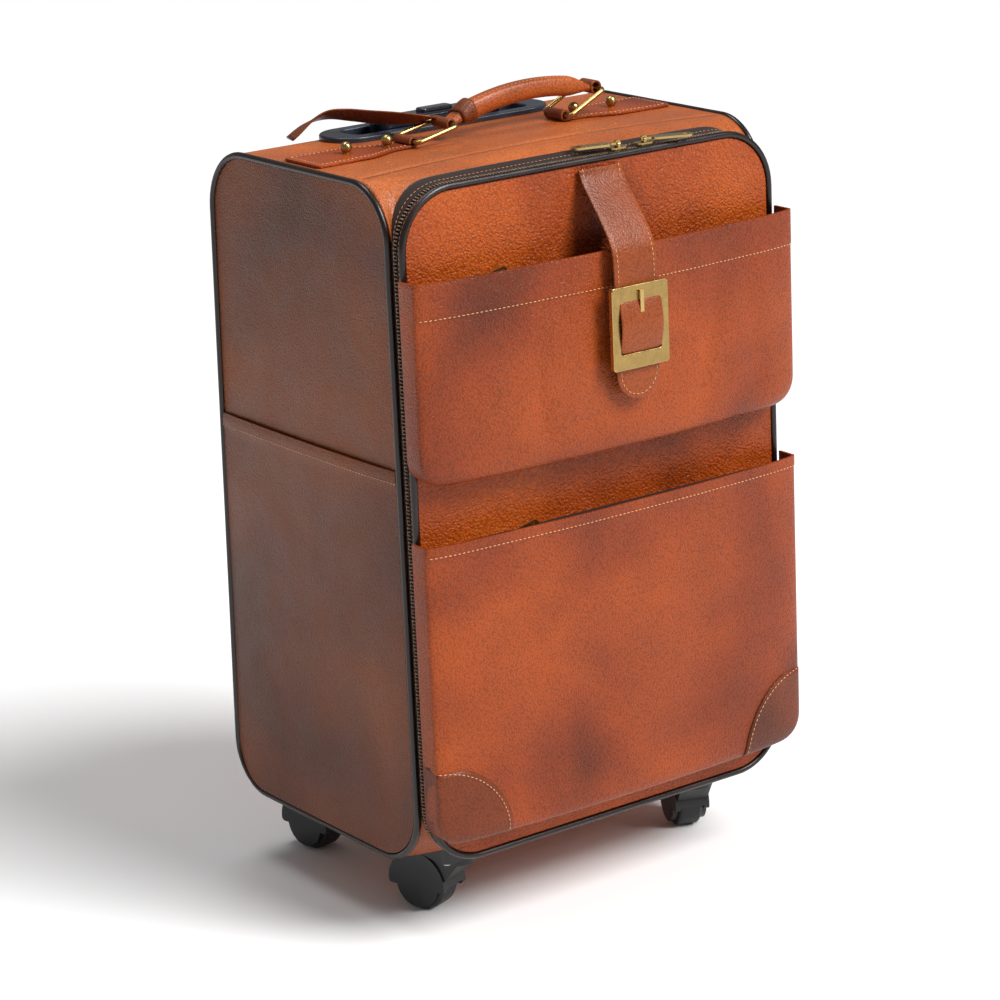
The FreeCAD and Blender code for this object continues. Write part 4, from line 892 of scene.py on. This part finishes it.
for sign, name in ((-1, "left"), (1, "right")):
    rows, edges = [], [[], []]
    for x in [66 + 92 * n / 46 for n in range(47)]:
        half = tab_half(x) - 3 * max(0.0, (x - 155) / 3) ** 2
        lift = 554.9 + 0.25 * ripple(x, 0, 0, 61, 40)
        rows.append([(sign * x, HANDLE_Y + half * n / 8, lift) for n in range(-8, 9)])
        if 72 < x < 154:
            edges[0].append((sign * x, HANDLE_Y - half + 3, lift + 1.15))
            edges[1].append((sign * x, HANDLE_Y + half - 3, lift + 1.15))
    edges.append([(sign * 154, HANDLE_Y + 18 * n / 10, 556.0) for n in range(-10, 11)])
    make_piece("anchor_tab_" + name, grid(rows), "root", "trim_leather", pocket_skin,
               ["handle_anchor_" + name], toward=(0, 0, 1), thick=2.2, offset=0, bevel=0.5,
               fix=False)
    sew("anchor_stitches_" + name, "root", edges, across=(0.0, 0.0, 1.0))
    rows = []
    for n in range(27):
        a = math.pi * (1.0 if sign < 0 else 0.0) + sign * (-0.35 + math.tau * 0.86 * n / 26)
        rows.append([(sign * RING_X + 3.3 * math.cos(a), HANDLE_Y + 10.6 * k / 6,
                      PIVOT_Z + 3.3 * math.sin(a)) for k in range(-6, 7)])
    make_piece("anchor_loop_" + name, grid(rows), "root", "trim_leather", dark_skin, thick=1.9,
               offset=0, bevel=0.4)

# ---- Carry handle -----------------------------------------------------------------
# Hide rolled round a cord core and closed by one row of stitches along its upper front
# edge; each end is thinned to a flat hem that goes round its ring.

handle_skin = leather("rolled cowhide, handle", "#c0622a", "#aa5220", "#7c3813", 1.4, 0.16,
                      0.32, patch_mm=60, seed=29.0)
RING = 36.0
rest_left, rest_right = math.radians(12), math.radians(26)
bar_left = Vector((-RING_X + RING * math.cos(rest_left), HANDLE_Y,
                   PIVOT_Z + RING * math.sin(rest_left)))
bar_right = Vector((RING_X + RING * math.cos(rest_right), HANDLE_Y,
                    PIVOT_Z + RING * math.sin(rest_right)))
along = (bar_right - bar_left).normalized()
span = (bar_right - bar_left).length
raised = Vector((-along.z, 0, along.x))


def on_handle(s, arch=20.0):
    """Middle of the roll, from bar to bar."""
    t = (3.0 + (span - 6.0) * s)
    return bar_left + along * t + raised * (arch * 2 * s * (1 - s))


rows, seam_line, keeper_rows = [], [], []
for n in range(65):
    s = n / 64
    here = on_handle(s)
    ahead = (on_handle(min(s + 0.01, 1)) - on_handle(max(s - 0.01, 0))).normalized()
    up = Vector((-ahead.z, 0, ahead.x))
    full = soft_step(s / 0.16) * soft_step((1 - s) / 0.16)
    wide, high = 7.8 - 0.5 * (1 - full), 2.4 + 5.0 * full
    row = []
    for k in range(24):
        a = math.tau * k / 24
        c, z = math.cos(a), math.sin(a)
        u = math.copysign(abs(c) ** (0.75 if full > 0.5 else 0.6), c) * wide
        v = math.copysign(abs(z) ** 0.85, z) * high
        ridge = 0.7 * math.exp(-((a - 2.25) / 0.22) ** 2) * full
        row.append(tuple(here + Vector((0, 1, 0)) * (u * (1 + ridge / 8)) + up * (v + ridge)))
    rows.append(row)
    if 0.06 < s < 0.94:
        a = 2.05
        seam_line.append(tuple(here + Vector((0, 1, 0)) * wide * math.cos(a) * 0.98
                               + up * (high * math.sin(a) ** 0.85 + 0.25)))
    if 0.05 < s < 0.16:
        keeper_rows.append([tuple(here + (Vector(q) - here) * 1.16 + up * 0.3) for q in row])
verts, faces = grid(rows, closed=True)
faces += [tuple(range(24)), tuple(range(len(verts) - 24, len(verts)))]
make_piece("handle_roll", (verts, faces), "handle", "trim_leather", handle_skin, ["carry_handle"])
make_piece("handle_keeper", grid(keeper_rows, closed=True), "handle", "trim_leather", dark_skin,
           thick=0.8, offset=0)
sew("handle_stitches", "handle", [seam_line], across=(0.0, -0.6, 0.8),
    pitch=3.4, length=2.6, width=1.0)
for name, centre, radius in (("left", bar_left, 3.4), ("right", bar_right - along * 1.0
                                                       + raised * 0.8, 4.3)):
    rows = []
    for n in range(25):
        a = math.tau * n / 24
        rows.append([tuple(centre + along * radius * math.cos(a) + raised * radius
                           * math.sin(a) + Vector((0, 7.8 * k / 5, 0)))
                     for k in range(-5, 6)])
    make_piece("handle_hem_" + name, grid(rows), "handle", "trim_leather", dark_skin, thick=1.6,
               offset=0)

# ---- Tag strap --------------------------------------------------------------------
# A short leftover strap of single hide for a name tag: a thong round the ring's bar that
# widens and lies back over the top, curling down to its cut end.

start = bar_left
path = through([start + Vector(p) for p in (
    (1.5, 10.4, 3.2), (-4, 10.6, 3.5), (-12, 14, 3.3), (-22, 28, 3.4), (-33, 43, 3.9),
    (-44, 58, 5.2), (-55, 69, 5.4), (-67, 76, 0.6), (-82, 80, -9.8))], 7)
make_piece("tag_strap_leather",
           ribbon(path, lambda s: 4.0 + 10 * soft_step((s - 0.04) / 0.2), 2.0, lean=1.3),
           "tag", "trim_leather", dark_skin, ["tag_strap"])
rows = []
for n in range(21):
    a = math.tau * n / 20
    rows.append([(start.x + 3.2 * math.cos(a), HANDLE_Y + 8.5 + 3.7 * k / 4,
                  start.z + 3.2 * math.sin(a)) for k in range(5)])
make_piece("tag_loop", grid(rows), "tag", "trim_leather", dark_skin, thick=1.4, offset=0)

# ---- Rear corner guards -----------------------------------------------------------
# Patches of hide over the two lower back corners, where the case is pulled over kerbs.

rear = side_arcs(-1.3, 14)
chain = [(100.6, rear[2][-1][1])] + rear[2][::-1]
chain += straight(chain[-1], (135.1, 131), 6) + [(134.6, 131.5)]
for sign, name in ((-1, "left"), (1, "right")):
    rows = [[(sign * (138.5 + 20.5 * n / 8 if y < 101 else 116 + 43 * n / 8), y, z)
             for n in range(9)] for y, z in chain]
    make_piece("rear_guard_" + name, grid(rows), "root", "trim_leather", patch_skin,
               ["rear_guards"] if sign < 0 else [], thick=1.2)
    sew("rear_guard_stitches_" + name, "root",
        [[(sign * (118.5 + 38 * n / 20), 135.1, 129) for n in range(21)]],
        across=(0.0, 1.0, 0.0))

# ---- Linings ----------------------------------------------------------------------
# Twill lining with a soft slub, glued inside the body and inside the lid's board; in the
# body it turns over the false back in one sheet.

twill, tree, fabric = new_material("polyester twill lining", Roughness=0.8, Sheen_Weight=0.35)
spot = object_space(tree)
diagonal = add_node(tree, "ShaderNodeTexWave", {"bands_direction": "DIAGONAL"}, Vector=spot,
                    Scale=260.0, Distortion=2.0, Detail=2.0).outputs["Fac"]
base = ramp(tree, noise(tree, spot, 30.0, 4.0), [(0.3, "#5b4633"), (0.7, "#7a6148")])
feed(tree, fabric, Normal=bump(tree, diagonal, 0.5, 0.0003),
     Base_Color=multiply(tree, 0.8, base, ramp(tree, diagonal, [(0.2, 0.72), (0.8, 1.0)])))


def box_loop(half, low, top, radius):
    return loop_of(rounded([(-half, top, radius), (half, top, radius), (half, low, radius),
                            (-half, low, radius)], 10), 14)


rows = []
for y, inset, radius in ((-108.6, 4.2, 38), (-96, 4.4, 36), (-70, 4.6, 30), (-40, 4.4, 20),
                         (0, 4.2, 14), (30, 4.2, 12), (44, 4.6, 10), (48.6, 9, 8)):
    half, low, top = 162 - inset, 63 + inset - 2, 550 - inset
    if y > -60:
        half, low, top = 161.0 - inset * 0.5, 59.5 + inset * 0.5, 550.5 - inset * 0.5
    rows.append([(x * (1 - 0.004 * (1 + ripple(x, y, z, 71, 120))), y,
                  306 + (z - 306) * (1 - 0.003 * (1 + ripple(x, y, z, 72, 100))))
                 for x, z in box_loop(half, low, top, radius)])
verts, faces = grid(rows, closed=True)
faces.append(tuple(range(len(verts) - len(rows[0]), len(verts))))
make_piece("body_lining", (verts, faces), "root", "lining", twill, ["lining"], thick=0.6, offset=0)
rows = []
for z in eased(68, 545, 30):
    x0, x1 = extent(lid_arcs, 5.0, z)
    rows.append([(x, -115.9 + 0.25 * ripple(x, 0, z, 73, 80), z) for x in eased(x0, x1, 24)])
make_piece("lid_lining_cloth", grid(rows), "lid", "lining", twill, ["lid_lining"], thick=0.5,
           offset=0)

# ---- Pocket zips ------------------------------------------------------------------
# Narrow coil zips on brown tape, sewn flat on the lid below each pocket's mouth, so the
# hem hides them from in front.

for name, z in (("upper", 479.0), ("lower", 293.0)):
    rows = [[(x, -121.0 - (0.5 if abs(n) < 4 else 0.2), z + n * 1.4)
             for x in eased(-149.5, 149.5, 40)] for n in range(-4, 5)]
    make_piece(name + "_pocket_tape", grid(rows), "lid", "zip_tape", tape_cloth,
               ["pocket_zip_tapes"] if name == "upper" else [], thick=0.4, offset=0)
    line = [(148.0 * n / 30, -121.6, z) for n in range(-30, 31)]
    teeth = nodes_to_mesh(name + "_pocket_coil", [line], stitches, Pitch=0.0018, Length=0.0011,
                          Width=0.004, Height=0.0010, Across=(0.0, -1.0, 0.0), Thread=nylon)
    finish_piece(teeth, "lid")

# ---- Antique brass ----------------------------------------------------------------
# Zinc castings plated in brass, darkened and relieved: high spots bright and yellow,
# hollows brown. The finish is satin, with a fine directionless scratch.

brass, tree, metal = new_material("antiqued brass plate", Metallic=1.0)
spot = object_space(tree)
tarnish = noise(tree, spot, 170.0, 5.0, Roughness=0.6)
worn = add_node(tree, "ShaderNodeNewGeometry").outputs["Pointiness"]
edges = ramp(tree, worn, [(0.46, 0.0), (0.56, 1.0)])
tone = ramp(tree, tarnish, [(0.28, "#574223"), (0.5, "#846739"), (0.72, "#a4854d")])
feed(tree, metal, Roughness=spread(tree, tarnish, 0.2, 0.36),
     Base_Color=add_node(tree, "ShaderNodeMix", {"data_type": "RGBA"}, i0=edges, i6=tone,
                         i7=linear("#c2a569")).outputs[2],
     Normal=bump(tree, noise(tree, spot, 1400.0), 0.15, 0.00005))


def coat(material, *nodes):
    """Give carried-over CAD nodes their finish."""
    for name in nodes:
        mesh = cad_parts[name].data
        mesh.materials.clear()
        mesh.materials.append(material)


coat(brass, "anchor_studs", "ring_left", "ring_right", "buckle_frame", "buckle_prong",
     "snap_socket", "snap_stud", "slider_left", "slider_right", "puller_left", "puller_right",
     "pocket_slider_upper", "pocket_slider_lower", "pocket_puller_upper",
     "pocket_puller_lower")

# ---- Plastics, tubes and boards ---------------------------------------------------
# Casters, bezel and feet are moulded nylon with a spark-eroded texture; the grip is
# glossy and navy; wheels are softer polyurethane; tubes are drawn, anodised aluminium.


def moulded(name, dark, light, low, high, grain, depth, **shader):
    """Moulded surface: scuffed from dark to light, roughness from low to high."""
    material, tree, surface = new_material(name, IOR=1.5, **shader)
    spot = object_space(tree)
    scuff = noise(tree, spot, 60.0, 5.0)
    feed(tree, surface, Base_Color=ramp(tree, scuff, [(0.35, dark), (0.7, light)]),
         Roughness=spread(tree, scuff, low, high),
         Normal=bump(tree, noise(tree, spot, grain), 0.4, depth))
    return material


nylon_black = moulded("moulded nylon, black", "#0b0b0d", "#18181b", 0.30, 0.48, 1100.0, 0.0001)
bezel_grey = moulded("moulded ABS, blue grey", "#1d222b", "#2b323e", 0.28, 0.42, 1100.0, 0.00008)
grip_navy = moulded("glossy ABS, navy", "#0a0d16", "#131828", 0.12, 0.22, 300.0, 0.00002,
                    Coat_Weight=0.4, Coat_Roughness=0.08)
wheel_black = moulded("polyurethane tread, black", "#0c0c0d", "#1b1b1c", 0.38, 0.6, 700.0,
                      0.00015)
fibreboard = moulded("grey fibreboard", "#2a231d", "#3a3028", 0.75, 0.9, 500.0, 0.0002)
tube_metal, tree, drawn = new_material("anodised aluminium tube", Metallic=1.0)
drawn_out = add_node(tree, "ShaderNodeMapping", None, Scale=(1.0, 1.0, 0.02),
                     Vector=object_space(tree)).outputs[0]
lines = noise(tree, drawn_out, 2200.0, 3.0)
feed(tree, drawn, Base_Color=ramp(tree, lines, [(0.3, "#8f9194"), (0.7, "#b4b6b9")]),
     Roughness=spread(tree, lines, 0.25, 0.4))
CORNERS = ("front_left", "front_right", "rear_left", "rear_right")
coat(nylon_black, "caster_bases", "rear_feet", "tube_foot",
     *["caster_fork_" + c for c in CORNERS])
coat(wheel_black, *["caster_wheel_" + c for c in CORNERS])
coat(bezel_grey, "trolley_bezel")
coat(grip_navy, "grip", "grip_button")
coat(tube_metal, "outer_tubes", "middle_tubes", "inner_tubes", "caster_screws")
coat(fibreboard, "case_shell", "lid_board", "inner_back_panel")

# ---- Floor, light and camera ------------------------------------------------------
# A seamless white floor under a broad sun from the front right, with a small key and a
# top light for the highlights, so that the left side of the case falls into shade.

floor_mesh = bpy.data.meshes.new("floor")
floor_mesh.from_pydata([(-9, -9, 0), (9, -9, 0), (9, 9, 0), (-9, 9, 0)], [], [(0, 1, 2, 3)])
floor = new_object("floor", floor_mesh)
paper, tree, matt = new_material("white paper sweep", Roughness=0.9)
matt.inputs["Base Color"].default_value = linear("#fbfbfb")
floor.data.materials.append(paper)


def soft_light(name, at, target, width, height, watts):
    data = bpy.data.lights.new(name, "AREA")
    data.shape = "RECTANGLE"
    data.size, data.size_y, data.energy = width, height, watts
    ob = new_object(name, data)
    ob.location = at
    ob.rotation_euler = (Vector(target) - Vector(at)).to_track_quat("-Z", "Y").to_euler()


soft_light("key", (1.1, -2.3, 1.6), (0, 0, 0.3), 0.6, 0.6, 16)
soft_light("top", (-0.2, 0.5, 2.3), (0, 0, 0.4), 1.2, 0.7, 14)
sun = new_object("sun", bpy.data.lights.new("sun", "SUN"))
sun.data.energy = 3.5
sun.data.angle = math.radians(28)
sun.rotation_euler = Vector((-0.8, 1.6, -1.9)).to_track_quat("-Z", "Y").to_euler()

# the sky is white behind the case but lights it less than it looks
world = bpy.data.worlds.new("studio")
world.use_nodes = True
sky = world.node_tree.nodes["Background"]
sky.inputs[0].default_value = linear("#ffffff")
seen = add_node(world.node_tree, "ShaderNodeLightPath").outputs["Is Camera Ray"]
world.node_tree.links.new(add_node(world.node_tree, "ShaderNodeMapRange", None, Value=seen,
                                   To_Min=0.24, To_Max=1.0).outputs[0], sky.inputs[1])
bpy.context.scene.world = world
bpy.context.scene.view_settings.view_transform = "Standard"

yaw, pitch, roll = (math.radians(v) for v in (-35.67, 16.57, -2.54))
ahead = Vector((-math.sin(yaw) * math.cos(pitch), math.cos(yaw) * math.cos(pitch),
                -math.sin(pitch)))
right = Vector((math.cos(yaw), math.sin(yaw), 0))
upward = right.cross(ahead)
axis_x = right * math.cos(roll) + upward * math.sin(roll)
axis_y = upward * math.cos(roll) - right * math.sin(roll)
camera = new_object("camera", bpy.data.cameras.new("camera"))
camera.data.lens = 124.77
camera.data.sensor_width = 36
turned = Matrix((axis_x, axis_y, -ahead)).transposed().to_4x4()
camera.matrix_world = Matrix.Translation(place((-1450.4, -2014.3, 1015.6))) @ turned
bpy.context.scene.camera = camera
